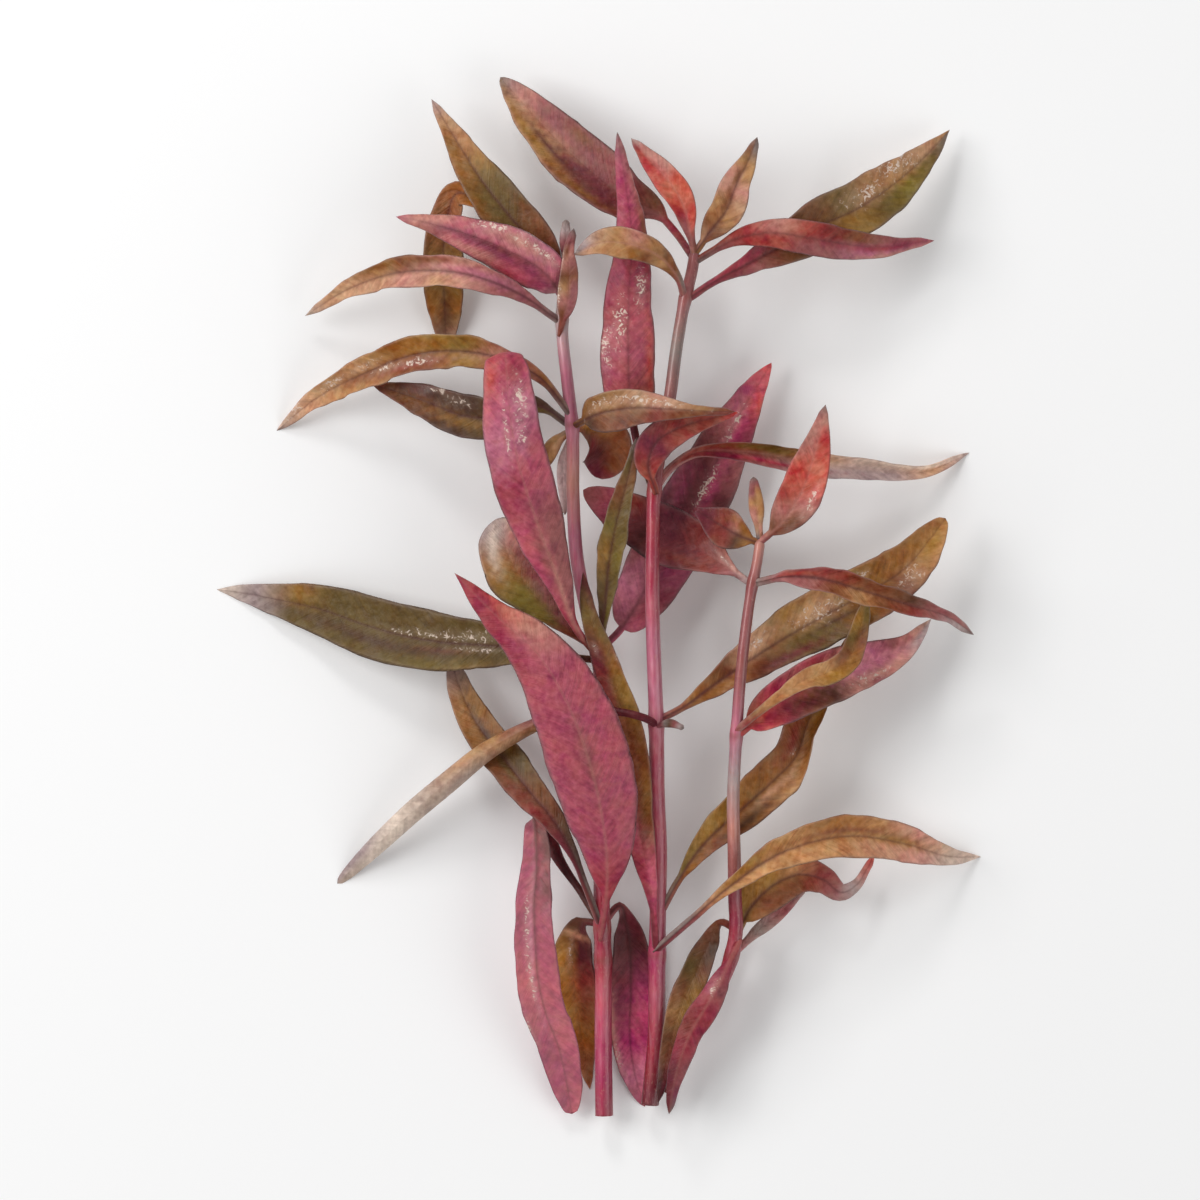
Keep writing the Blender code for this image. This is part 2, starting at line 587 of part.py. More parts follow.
def blade_mesh(name, leaf, stems, thickness, stations):
    """One closed leaf: two skins that meet along the margins, the tip and the cut petiole."""
    path = trimmed(leaf, smooth_path(placed(leaf.path)), stems, thickness)
    sheet, normals = blade_sheet(leaf, path, stations, ACROSS)
    bulge = np.sqrt(1.0 - np.array(ACROSS) ** 2)
    before_tip = 1.0 - np.linspace(0.0, 1.0, stations)
    thinning = np.sqrt(np.clip(before_tip / TIP_THINNING, 0.0, 1.0))
    lift = normals * (thickness / 2 * bulge)[None, :, None] * thinning[:, None, None]
    upper, lower = sheet + lift, sheet - lift
    raise_by = np.clip(-lower[..., 2:], 0.0, None)
    upper[..., 2:] += raise_by
    lower[..., 2:] += raise_by

    shape = bmesh.new()
    last = len(ACROSS) - 1
    rows = []
    for station in range(stations - 1):
        top = [shape.verts.new(point * MM) for point in upper[station]]
        inner = [shape.verts.new(point * MM) for point in lower[station, 1:last]]
        rows.append((top, [top[0], *inner, top[last]]))
    tip = shape.verts.new(upper[-1, last // 2] * MM)
    for (top, bottom), (next_top, next_bottom) in zip(rows, rows[1:]):
        for column in range(last):
            shape.faces.new(
                (top[column], top[column + 1], next_top[column + 1], next_top[column])
            )
            shape.faces.new(
                (bottom[column + 1], bottom[column], next_bottom[column], next_bottom[column + 1])
            )
    top, bottom = rows[-1]
    for column in range(last):
        shape.faces.new((top[column], top[column + 1], tip))
        shape.faces.new((bottom[column + 1], bottom[column], tip))
    top, bottom = rows[0]
    shape.faces.new([*bottom, *reversed(top[1:last])])
    bmesh.ops.recalc_face_normals(shape, faces=shape.faces)
    mesh = bpy.data.meshes.new(name)
    shape.to_mesh(mesh)
    shape.free()
    mesh.shade_smooth()
    return mesh


def add_leaf(name, leaf, stems):
    thickness = BUD_THICKNESS if name.startswith("bud") else BLADE_THICKNESS
    stations = SHORT_STATIONS if len(leaf.path) <= FEW_POINTS else BLADE_STATIONS
    thing = bpy.data.objects.new(name, blade_mesh(name, leaf, stems, thickness, stations))
    look = material("leaf_" + leaf.tone, TONES[leaf.tone], LEAF_ROUGHNESS)
    thing.data.materials.append(look)
    bpy.context.scene.collection.objects.link(thing)
    return thing


def add_stem(name, stem, axis, radius):
    """A stem as a bevelled curve with flat cut ends."""
    along = np.linspace(0.0, 1.0, STEM_STATIONS)
    for node in stem.nodes:
        place = np.interp(node - CENTRE_Y, axis[:, 1], np.linspace(0.0, 1.0, len(axis)))
        step = NODE_LENGTH / (axis[-1, 1] - axis[0, 1])
        along = np.append(along, (place - step, place, place + step))
    along = np.unique(np.clip(np.round(along, 4), 0.0, 1.0))
    index = along * (len(axis) - 1)
    curve = bpy.data.curves.new(name, "CURVE")
    curve.dimensions = "3D"
    curve.bevel_depth = 1.0 * MM
    curve.bevel_resolution = STEM_BEVEL_RESOLUTION
    curve.use_fill_caps = True
    spline = curve.splines.new("POLY")
    spline.points.add(len(along) - 1)
    for point, place in zip(spline.points, index):
        position = [np.interp(place, np.arange(len(axis)), axis[:, k]) * MM for k in range(3)]
        point.co = (*position, 1.0)
        point.radius = float(np.interp(place, np.arange(len(axis)), radius))
    thing = bpy.data.objects.new(name, curve)
    curve.materials.append(material("stem", STEM_COLOUR, STEM_ROUGHNESS))
    bpy.context.scene.collection.objects.link(thing)
    return thing


def main():
    clear_scene()
    stems = {}
    for name, stem in STEMS.items():
        axis = smooth_path(placed(stem.path))
        stems[name] = (axis, stem_radius(stem, axis))
        add_stem(name, stem, *stems[name])
    for name, leaf in LEAVES.items():
        add_leaf(name, leaf, stems)


main()
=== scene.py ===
# %% [markdown]
# # A cut bunch of alternanthera
#
# This is a water plant with red and olive leaves, lying down as it is cut: three stems,
# with nearly fifty leaves and buds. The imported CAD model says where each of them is. This
# script gives every one its fine surface: thin blades with sunken veins, soft stems with
# swollen nodes, and wet, mottled colours.

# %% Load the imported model
from typing import NamedTuple

import bpy
import numpy as np
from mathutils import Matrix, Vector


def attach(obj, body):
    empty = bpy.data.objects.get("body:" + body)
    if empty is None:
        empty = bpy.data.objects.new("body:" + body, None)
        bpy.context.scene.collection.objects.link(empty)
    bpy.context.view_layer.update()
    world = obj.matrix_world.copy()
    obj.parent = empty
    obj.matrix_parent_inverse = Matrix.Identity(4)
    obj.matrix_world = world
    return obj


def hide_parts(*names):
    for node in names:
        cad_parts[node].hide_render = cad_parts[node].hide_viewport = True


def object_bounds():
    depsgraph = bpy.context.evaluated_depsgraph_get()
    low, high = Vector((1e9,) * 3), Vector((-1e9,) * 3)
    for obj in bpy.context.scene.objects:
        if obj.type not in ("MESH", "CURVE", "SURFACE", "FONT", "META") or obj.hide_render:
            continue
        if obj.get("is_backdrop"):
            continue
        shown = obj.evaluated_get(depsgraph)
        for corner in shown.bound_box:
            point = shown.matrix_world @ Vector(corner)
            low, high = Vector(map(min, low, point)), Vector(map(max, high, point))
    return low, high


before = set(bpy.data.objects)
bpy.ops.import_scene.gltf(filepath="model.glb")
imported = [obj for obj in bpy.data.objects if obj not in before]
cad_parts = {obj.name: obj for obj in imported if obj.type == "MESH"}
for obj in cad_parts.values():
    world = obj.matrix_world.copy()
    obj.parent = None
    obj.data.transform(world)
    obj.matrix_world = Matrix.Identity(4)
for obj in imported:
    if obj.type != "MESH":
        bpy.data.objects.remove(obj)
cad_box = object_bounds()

MM = 0.001
print(f"{len(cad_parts)} stems and leaves in the packed model")

# %% [markdown]
# ## Camera
#
# The picture looks straight down on the bunch from far away, so leaves near the camera
# look hardly larger than leaves on the floor. A long lens from three metres does the
# same. The lens follows from how wide the picture is at the height of the leaves.

# %% Camera
PICTURE_WIDTH = 240 * MM
PICTURE_CENTRE = (0.2 * MM, -0.6 * MM)
CAMERA_DISTANCE = 3.0
FOCUS_HEIGHT = 14 * MM
SENSOR_WIDTH = 36.0
FARTHEST_SEEN = 20.0

camera_data = bpy.data.cameras.new("camera")
camera_data.sensor_width = SENSOR_WIDTH
camera_data.lens = SENSOR_WIDTH * CAMERA_DISTANCE / PICTURE_WIDTH
camera_data.clip_end = FARTHEST_SEEN
camera = bpy.data.objects.new("camera", camera_data)
camera.location = (*PICTURE_CENTRE, FOCUS_HEIGHT + CAMERA_DISTANCE)
bpy.context.scene.collection.objects.link(camera)
bpy.context.scene.camera = camera
print(f"camera: {camera_data.lens:.0f} mm lens, {CAMERA_DISTANCE} m above the leaves")

# %% [markdown]
# ## Light
#
# The light is soft, as in a light tent. A key box high on the left shapes the stems and
# blades, a wider fill box on the right opens the shadows, and a weak box behind the tips
# draws gloss on the wet leaves. A pale room lights the rest. The plain Standard view
# keeps the tints of the materials as they are.

# %% Light
ROOM_GLOW = 0.42
WHITE = (1.0, 1.0, 1.0, 1.0)

aim = camera.location.copy()
aim.z = 0.0


def soft_box(name, place, size, power):
    """A square soft light at a place, turned towards the floor below the camera."""
    light = bpy.data.lights.new(name, "AREA")
    light.size = size
    light.energy = power
    box = bpy.data.objects.new(name, light)
    box.location = place
    box.rotation_euler = (aim - box.location).to_track_quat("-Z", "Y").to_euler()
    bpy.context.scene.collection.objects.link(box)


soft_box("key_light", (-0.9, 0.3, 0.85), size=0.7, power=9.0)
soft_box("fill_light", (0.9, -0.5, 0.8), size=0.9, power=4.2)
soft_box("gloss_light", (-0.3, 0.9, 0.7), size=0.25, power=2.5)

world = bpy.data.worlds.new("room")
world.use_nodes = True
world.node_tree.nodes["Background"].inputs["Color"].default_value = WHITE
world.node_tree.nodes["Background"].inputs["Strength"].default_value = ROOM_GLOW
bpy.context.scene.world = world
bpy.context.scene.view_settings.view_transform = "Standard"
print("three soft boxes and a pale room")

# %% [markdown]
# ## Nodes written as sums
#
# A wet leaf needs long node trees, and long trees are hard to read as code. Here a small
# class stands for a socket and takes part in plain Python sums, so `1 - mask` adds its
# Math node by itself. Every other node comes from one method, which takes the node's
# type, its settings and the values of its sockets. Shader trees and Geometry Nodes share
# both.

# %% Sockets and trees
class Socket:
    """The output of a node. Sums, products and powers of it add Math nodes."""

    def __init__(self, tree, output):
        self.tree = tree
        self.output = output

    def maths(self, operation, *values):
        return self.tree.node("ShaderNodeMath", {"operation": operation}, dict(enumerate(values)))

    def __add__(self, other):
        return self.maths("ADD", self, other)

    def __sub__(self, other):
        return self.maths("SUBTRACT", self, other)

    def __mul__(self, other):
        return self.maths("MULTIPLY", self, other)

    def __truediv__(self, other):
        return self.maths("DIVIDE", self, other)

    def __pow__(self, other):
        return self.maths("POWER", self, other)

    def __rsub__(self, other):
        return self.maths("SUBTRACT", other, self)

    def __neg__(self):
        return self.maths("MULTIPLY", self, -1.0)

    def __abs__(self):
        return self.maths("ABSOLUTE", self)

    __radd__ = __add__
    __rmul__ = __mul__

    def least(self, other):
        return self.maths("MINIMUM", self, other)

    def most(self, other):
        return self.maths("MAXIMUM", self, other)

    def share(self):
        """The value held between 0 and 1."""
        return self.least(1.0).most(0.0)

    def above(self, edge, steepness):
        """0 up to the edge, then rising to 1 at this steepness."""
        return ((self - edge) * steepness).share()

    def cosine(self):
        return self.maths("COSINE", self)

    def bell(self, width):
        """1 where the value is 0, falling off like a bell over the width."""
        scaled = self / width
        return self.maths("EXPONENT", -(scaled * scaled))


class Tree:
    """A node tree that is built by one method."""

    def __init__(self, tree):
        self.tree = tree

    def node(self, kind, settings=None, sockets=None, output=0):
        """A new node's output. The settings go first, then the values or links of its sockets."""
        made = self.tree.nodes.new(kind)
        for name, value in (settings or {}).items():
            if name == "stops":
                while len(made.color_ramp.elements) < len(value):
                    made.color_ramp.elements.new(0.5)
                for stop, (position, colour) in zip(made.color_ramp.elements, value):
                    stop.position = position
                    stop.color = colour
            else:
                setattr(made, name, value)
        for key, value in (sockets or {}).items():
            if isinstance(value, Socket):
                self.tree.links.new(value.output, made.inputs[key])
            else:
                made.inputs[key].default_value = value
        return Socket(self, made.outputs[output]) if made.outputs else None


print("sockets take part in sums")

# %% [markdown]
# ## The tints of the plant
#
# One bunch holds nearly every tint from olive to crimson, and a single leaf may change
# from one to another. The tints get plain names here, as a painter would name them. A
# leaf then lists the names that it runs through from its base to its tip.

# %% Tints
TINTS = {
    "rose": (166, 80, 94),
    "dusk": (138, 78, 78),
    "pink": (180, 84, 102),
    "crimson": (146, 52, 66),
    "magenta": (160, 62, 92),
    "mauve": (178, 106, 124),
    "mist": (160, 140, 138),
    "plum": (122, 48, 70),
    "wine": (100, 36, 44),
    "maroon": (74, 27, 29),
    "coral": (186, 84, 72),
    "red": (154, 64, 56),
    "brick": (126, 58, 48),
    "rust": (118, 70, 44),
    "orange": (134, 86, 40),
    "golden": (146, 106, 52),
    "tan": (166, 120, 80),
    "sand": (182, 138, 108),
    "pale": (182, 158, 144),
    "olive": (98, 76, 34),
    "moss": (112, 94, 36),
    "brown": (78, 48, 30),
    "grey": (122, 106, 100),
    "bone": (222, 202, 186),
    "blush": (182, 124, 112),
}


def linear(tint):
    """A tint given in 0 to 255, as the linear colour that shaders work with.

    The numbers are those of the sRGB curve, the one that screens show colours by.
    """
    share = np.array(tint, float) / 255.0
    return np.where(share > 0.04045, ((share + 0.055) / 1.055) ** 2.4, share / 12.92)


def read_at(places, knots, values):
    """Rows of values that belong to the knots, read at other places in between."""
    return np.stack([np.interp(places, knots, column) for column in values.T], axis=1)


def tints_along(names, along):
    """The colour at each place along a leaf that runs through the named tints."""
    stops = np.array([linear(TINTS[name]) for name in names.split()])
    return read_at(along, np.linspace(0.0, 1.0, len(stops)), stops)


print(f"{len(TINTS)} tints")

# %% [markdown]
# ## What a stem and a leaf are
#
# A stem has points along its middle and the height of each node. A leaf has points along
# its midrib, the width of its blade and the angles of its two half blades. After them
# come the tints of the blade: tints is the half to the left of someone who walks from
# the base to the tip, and the whole blade where right_tints is left out. The rib says
# how the midrib shows against the blade: lighter where it is LIGHT or PALE, darker where
# it is RED or DARK, and not at all where it is PLAIN. Last come the marks, the flecks of
# other colours and of wet gloss that make one leaf unlike the next. A gloss mark is also
# painted as a highlight, and a few colour marks are painted shade or painted sheen.

# %% Stem and Leaf
LIGHT, PALE, PLAIN, RED, DARK = 1.0, 0.6, 0.0, -0.6, -1.0


class Stem(NamedTuple):
    """A stem: points along its middle from the cut end up, and where its nodes are (Y).

    slim makes a stem thinner than its solid.
    """

    path: tuple
    nodes: tuple
    tints: str
    slim: float = 1.0


class Leaf(NamedTuple):
    """A leaf: its stem, its slot, points along its midrib and the full width of its blade.

    left and right are the angles of the half blades, in degrees, from base to tip.
    petiole and widest are fractions of the length; base and tip say how sharply the
    blade narrows at its ends. wave is how strongly its margins wave, and light is how
    much lighter than its tints the leaf is: below 1 it darkens its tone, and above 1 it is
    painted light, which lifts a leaf that lies in shade under others. A mark is how far
    along it lies, how far to the side (-1 is the left margin), its length and width in
    millimetres, and its tint, or gloss, a wet place that is also painted with highlights.
    """

    stem: str
    tone: str
    path: tuple
    width: float
    left: tuple = (15, 15)
    right: tuple = (15, 15)
    petiole: float = 0.08
    widest: float = 0.48
    base: float = 1.1
    tip: float = 1.0
    rib: float = DARK
    wave: float = 1.0
    light: float = 1.0
    tints: str = "olive"
    right_tints: str = ""
    marks: tuple = ()


print("a leaf is told by its", ", ".join(Leaf._fields))

# %% [markdown]
# ## Where the stems run
#
# These are the design's own points, in millimetres, the same as in the CAD model. The
# table's zero lies a little off the middle of the bunch, which is the origin. Only the
# right stem is slimmer here than in the model, as the real one is.

# %% Table of the stems
TABLE_CENTRE = (-0.2, 0.6)

STEMS = {
    "stem_left": Stem(
        path=(
            (0.8, -103.4, 4.6), (0.6, -88, 6.2), (0.6, -72, 8.2), (0.4, -65.6, 9.4),
            (0.2, -50, 12), (0, -32, 14.6), (-0.4, -11, 17.4), (-2.4, -3, 18),
            (-4.6, 8, 18), (-5.4, 20, 18), (-5.6, 35, 18.4), (-6.6, 44, 18.4),
            (-7.6, 54, 18.2), (-7.4, 61, 18), (-7.0, 66.4, 18),
        ),
        nodes=(-72, -65.6, -11, 35, 56),
        tints="crimson magenta pink crimson crimson crimson crimson rose "
        "rose dusk mauve mauve blush mauve mauve mist dusk",
    ),
    "stem_middle": Stem(
        path=(
            (10.0, -101.2, 4.2), (11.2, -88, 6.2), (11.4, -72, 9), (11.6, -60, 11.6),
            (11.8, -50, 13.2), (11.4, -40, 15), (11.2, -24.4, 18), (10.6, -8, 20.4),
            (10.4, 0, 21.2), (10.5, 12, 21.8), (10.8, 22, 21.8), (11.8, 29, 21.4),
            (12.8, 34.4, 21), (14, 41, 20.8), (15.2, 50, 20.4), (17, 60.2, 20),
            (18.4, 66, 19.6), (19, 69.8, 19.4),
        ),
        nodes=(-71, -24.4, 22, 60.4),
        tints="wine crimson rose magenta rose rose rose rose mauve "
        "mauve rose crimson crimson brick dusk grey dusk dusk",
    ),
    "stem_right": Stem(
        path=(
            (13.4, -98.8, 6.4), (16.8, -90, 6.8), (22.6, -80, 8.2), (26.4, -71, 10),
            (27.2, -66, 11.4), (27, -60, 13), (26.8, -50, 15.2), (26.6, -40, 17.2),
            (27.2, -27, 20), (27.8, -18, 21.2), (28.8, -8, 22), (30.2, 2, 22),
            (31.4, 8, 21.8), (32, 12.2, 21.6),
        ),
        nodes=(-71, -27, 3.4),
        tints="dusk dusk rose crimson crimson dusk "
        "blush mist mauve dusk dusk dusk blush",
        slim=0.88,
    ),
}

LEFT, MIDDLE, RIGHT = STEMS        # the names of the stems
print(f"{len(STEMS)} stems")

# %% [markdown]
# ## The leaves of the left stem
#
# The left stem carries the broadest leaves and most of the pink ones. The points and
# widths of all leaves are those of the CAD model, in millimetres; only the tip of
# leaf_left_4_upper is sharper here, as the real one is. A leaf that folds over, such as
# leaf_left_1_droop, simply has points that turn back.

# %% Table of the left stem's leaves
LEAVES = {
    # Left stem, first node from the bottom
    "leaf_left_1_front": Leaf(
        LEFT, "pink",
        ((0.4, -65.6, 12.2), (1.2, -60, 16), (1.4, -52.4, 19.5), (0.2, -42, 24), (-2.4, -31.4, 27),
         (-6.8, -20, 29), (-13, -10, 29.5), (-20.6, -3.2, 29), (-29, 5.4, 27)),
        17.2, (-12, -12), (-12, -12), widest=0.45,
        rib=LIGHT, tints="crimson crimson rose rose rose rose rose rose crimson crimson",
        right_tints="crimson crimson rose rose rose rose rose blush coral dusk",
        marks=((0.78, -0.8, 7, 1.6, "crimson"), (0.91, 0, 6, 1.6, "crimson"),
            (0.45, 0, 8, 1.5, "dusk")),
    ),
    "leaf_left_1_droop": Leaf(
        LEFT, "pink",
        ((0, -64.6, 10.6), (-4.2, -58, 9), (-8.2, -52, 7.8), (-11.4, -46, 7.4),
         (-13, -43.8, 9.4), (-12.8, -45.6, 12.2), (-12.6, -53, 12.8), (-13.2, -61, 12.8),
         (-13, -68, 12.2), (-12.4, -76, 11), (-10.8, -83, 9.4), (-8.5, -89, 7.6),
         (-6.9, -96, 5), (-5.6, -103.2, 2.6)),
        9, (-15, -15), (-15, -15), widest=0.7, base=0.5, tip=0.4,
        light=1.15,
        # The brown, maroon and wine at its base are painted shade, where its first leg lies under its
        # front part
        tints="brown maroon wine magenta magenta magenta pink magenta magenta magenta",
        right_tints="brown maroon wine crimson magenta magenta magenta pink magenta pink",
        marks=((0.57, -0.2, 14, 0.5, "mauve"), (0.55, -0.4, 8, 0.6, "gloss"),
            (0.67, -0.3, 5, 0.5, "gloss"), (0.76, -1, 5, 0.6, "gloss"),
            (0.36, 1, 5, 2.5, "maroon"), (0.45, 0.7, 4, 2, "wine")),
    ),
    "leaf_left_1_back": Leaf(
        LEFT, "orange",
        ((0, -65, 8.5), (-3.2, -64.6, 6.8), (-5, -69, 4.8), (-4.8, -80, 3), (-3.4, -89, 1.4),
         (-2, -98.4, -0.3)),
        8.8, (10, 10), (6, 6), widest=0.42, base=0.6,
        # The maroon at the base of its left half is painted shade, where that half lies in shadow
        # beside the stem
        rib=PLAIN, light=1.8, tints="maroon maroon maroon brick rust orange rust rust",
        right_tints="maroon brown golden orange golden orange rust rust",
        marks=((0.17, 0, 0.7, 3, "sand"), (0.27, 0.2, 3, 0.6, "gloss")),
    ),
    "leaf_left_1_right": Leaf(
        LEFT, "maroon",
        ((0.6, -65, 9), (3.8, -61.4, 7.4), (5.4, -66, 5.8), (6.2, -78, 4), (6, -88, 2.4),
         (7.2, -96, 1), (9, -101.8, -0.3)),
        8.8, (6, 6), (12, 12), widest=0.5, base=0.6, tip=0.6,
        light=1.6, tints="dusk wine maroon plum magenta magenta mauve pink",
        right_tints="dusk maroon maroon wine plum magenta mauve plum",
        marks=((0.76, 0.8, 4, 0.8, "gloss"), (0.64, 0.9, 6, 0.7, "blush")),
    ),
    "leaf_left_1_up": Leaf(
        LEFT, "orange",
        ((0, -65, 10.6), (-2.6, -58, 13), (-6, -49.6, 15.4), (-9.8, -43.4, 15.6),
         (-13.6, -38.9, 14.4), (-17.6, -33.8, 12.2), (-25.7, -23, 7.4), (-29, -15, 4.6),
         (-30, -11.6, 3.8)),
        8, (12, 12), (12, 12), petiole=0.16, widest=0.6, tip=0.5,
        tints="dusk wine wine brick rust orange tan mist",
        right_tints="grey grey brown rust olive orange golden mist",
        marks=((0.71, 0.1, 7, 0.8, "brown"), (0.59, -0.2, 5, 0.7, "olive")),
    ),
    # Left stem, second node
    "leaf_left_2_left": Leaf(
        LEFT, "olive",
        ((-0.2, -12, 16.5), (-6, -11.4, 16), (-16, -9.6, 14.5), (-24, -9, 13), (-30, -8.6, 11.6),
         (-40, -7, 8.6), (-48, -4.7, 6), (-55, -2.2, 4), (-64, -0.1, 1.8), (-73, 1.6, 0.2),
         (-77, 2.1, -0.3)),
        12.8, (10, 10), (10, 10), widest=0.52, base=0.8, tip=0.9,
        light=0.9, tints="rust rust olive olive olive olive olive olive olive mist bone",
        right_tints="rust olive olive olive olive olive olive olive golden mist bone",
        marks=((0.5, 0.1, 4, 0.5, "gloss"), (0.43, 0.2, 4, 0.7, "gloss"),
            (0.38, 0.2, 5, 0.9, "gloss"), (0.31, 0.3, 6, 1.3, "gloss"),
            (0.29, -0.2, 5, 0.5, "gloss"), (0.39, -0.3, 5, 0.6, "rust"),
            (0.57, -0.4, 14, 1.2, "brown"), (0.34, -1, 7, 1, "golden"),
            (0.5, 0.2, 14, 1.5, "olive"), (0.41, -0.9, 8, 1.4, "moss")),
    ),
    "leaf_left_2_right": Leaf(
        LEFT, "maroon",
        ((0, -10, 16.4), (4, -6, 14), (9.2, 2.4, 10.5), (15.2, 13, 9.5), (21.6, 24.4, 9.5),
         (27.6, 36.4, 9), (34.4, 47.6, 5)),
        14, (-12, -12), (-12, -12), petiole=0.1, widest=0.45, base=0.5, tip=0.75,
        rib=RED, light=1.5, tints="wine dusk mauve dusk plum plum maroon dusk plum coral",
        right_tints="wine rose wine plum rose maroon dusk plum coral coral",
        # The magenta marks at its wet places are partly its own magenta and partly a painted
        # purple-pink sheen, a painted highlight
        marks=((0.77, 0.2, 5, 1.4, "magenta"), (0.77, 0, 6, 0.9, "gloss"),
            (0.94, 0.3, 4, 2, "rose"), (0.58, 0.1, 6, 1.2, "gloss"), (0.6, 0.2, 6, 1.4, "magenta"),
            (0.55, -0.2, 8, 2, "maroon"), (0.21, -0.4, 8, 1.6, "mauve"),
            (0.47, -0.8, 7, 2, "maroon")),
    ),
    "leaf_left_2_front": Leaf(
        LEFT, "pink",
        ((-0.6, -11, 19.6), (-4.6, -6, 22.5), (-8, 3, 26), (-12.6, 15.6, 29.5), (-16.4, 28, 31),
         (-17.8, 36, 31), (-18.4, 43, 30.2), (-18.8, 48.6, 28.4), (-18.8, 49.2, 25.6),
         (-18.6, 47.4, 24)),
        12.2, (-10, -10), (-10, -10), widest=0.56, tip=0.35,
        rib=LIGHT, tints="rust crimson rose pink rose crimson mauve pink pink coral",
        right_tints="brick crimson dusk dusk dusk rose rose mauve pink pink",
        # The mauve marks beside its glints are a painted sheen around them, a painted highlight
        marks=((0.85, -0.7, 5, 1.6, "coral"), (0.88, 0.3, 4, 2.4, "crimson"),
            (0.79, 0.4, 6, 1.5, "gloss"), (0.74, -0.2, 5, 0.5, "gloss"),
            (0.69, 0.3, 3, 1, "gloss"), (0.68, 0.2, 4, 1.4, "mauve"), (0.25, 0, 9, 0.5, "blush"),
            (0.34, -0.2, 7, 1.2, "dusk"), (0.67, -0.5, 6, 1.6, "mauve"),
            (0.67, -0.2, 3, 0.4, "gloss")),
    ),
    "leaf_left_2_round": Leaf(
        LEFT, "olive",
        ((-1, -9.4, 18.4), (-6.4, -6, 20), (-13.6, 1.6, 21), (-18.6, 9.6, 19.5), (-19.4, 16.6, 16)),
        12.8, (18, 18), (18, 18), widest=0.65, tip=0.6,
        rib=PLAIN, wave=1.5, tints="rose rust olive moss moss golden tan mist mist",
        right_tints="rose wine dusk dusk dusk brick brick blush pale",
        marks=((0.83, -0.5, 5, 1.3, "bone"), (0.13, -1, 5, 2, "brick"), (0.47, -0.3, 6, 2, "moss")),
    ),
    "leaf_left_2_up": Leaf(
        LEFT, "olive",
        ((0, -9, 18.2), (0.8, -3.6, 18.8), (1.6, 6, 19.8), (3.4, 16, 21.4), (5.6, 24.4, 22.2),
         (7.4, 32.6, 22)),
        5.8, (20, 20), (20, 20),
        tints="brown brown olive golden moss rust olive grey",
        right_tints="brown moss olive moss olive olive rust grey",
    ),
    # Left stem, third node
    "leaf_left_3_left": Leaf(
        LEFT, "orange",
        ((-5.4, 36.4, 19), (-12, 44.4, 20), (-22, 48.8, 20), (-34, 49.5, 18), (-40, 48.2, 15.4),
         (-46, 45.8, 12), (-56, 41, 5.4), (-65, 34, -0.3)),
        8, (25, 25), (25, 25), tip=0.8,
        light=1.2, tints="grey rust dusk golden rust rust tan tan sand grey",
        right_tints="grey orange dusk golden golden orange tan tan sand pale",
        marks=((0.28, 0.2, 6, 1.6, "blush"), (0.36, 0.4, 5, 1.6, "moss"),
            (0.46, 0.5, 8, 1.2, "orange"), (0.53, -0.5, 7, 0.7, "brick"),
            (0.66, -0.2, 8, 1.2, "rust"), (0.77, 0.4, 4, 1, "gloss"), (0.65, 0.4, 4, 0.8, "gloss"),
            (0.59, -0.2, 3, 0.8, "gloss"), (0.49, -0.4, 5, 0.9, "gloss"),
            (0.92, 0.9, 4, 1.2, "gloss")),
    ),
    "leaf_left_3_lower": Leaf(
        LEFT, "olive",
        ((-5.2, 34.4, 18), (-13.4, 39, 17.4), (-21, 36.4, 16.6), (-27, 36.8, 15.4), (-35, 39.8, 13),
         (-46, 43.4, 8)),
        9, widest=0.5,
        light=0.78, tints="grey olive olive olive brown brown rust brick dusk",
        right_tints="grey brown brown olive brown rust brick rust coral",
        marks=((0.82, -0.5, 8, 1.4, "rust"), (0.61, 0.5, 8, 2, "brown"),
            (0.51, -0.3, 6, 1.2, "golden"), (0.67, 0.8, 3, 0.9, "gloss"),
            (0.55, 0.6, 3, 0.9, "gloss"), (0.73, -0.2, 6, 1.4, "orange")),
    ),
    "leaf_left_3_right": Leaf(
        LEFT, "orange",
        ((-4.8, 35, 19.5), (-2, 36.4, 22.5), (0, 37.2, 24.4), (4, 38, 26), (8, 38.3, 27),
         (12, 38.1, 27.5), (19, 37.7, 27), (27, 37.5, 25)),
        8.6, widest=0.3, base=1.2, tip=1.6,
        tints="rust rust tan tan sand blush sand tan rust brick",
        right_tints="rust brown rust rust rust brick rust rust brick brick",
        marks=((0.31, -0.5, 6, 1.2, "gloss"), (0.49, -0.5, 8, 1.1, "gloss"),
            (0.4, -0.5, 9, 1, "sand"), (0.15, -0.8, 6, 1.4, "orange")),
    ),
    "leaf_left_3_back": Leaf(
        LEFT, "maroon",
        ((-4.6, 34.4, 17), (-1.4, 33.6, 13.5), (0.9, 30.6, 9.5), (0.4, 24.2, 5)),
        11.4, widest=0.5, base=0.7, tip=0.6,
        rib=PLAIN, light=2.0, tints="rust golden orange rust rust rust dusk",
        # The wine and maroon of its right half are painted shade, where that half folds under
        right_tints="rust brown wine maroon maroon wine wine",
    ),
    "leaf_left_3_small": Leaf(
        LEFT, "orange",
        ((-5.6, 34, 17.5), (-8.8, 31.6, 17), (-11, 28, 16), (-12.4, 23, 15)),
        3.4,
        rib=PLAIN, tints="tan sand tan rust rust",
        right_tints="grey tan rust rust orange",
    ),
    "leaf_left_3_thin": Leaf(
        LEFT, "maroon",
        ((-5.6, 33, 17), (-7.2, 28.4, 15.4), (-7.4, 23, 14.4), (-7, 17, 14)),
        2.4,
        rib=PLAIN, light=1.8, tints="grey mist mist mist mist grey",
    ),
    # Left stem, top
    "leaf_left_4_upper": Leaf(
        LEFT, "pink",
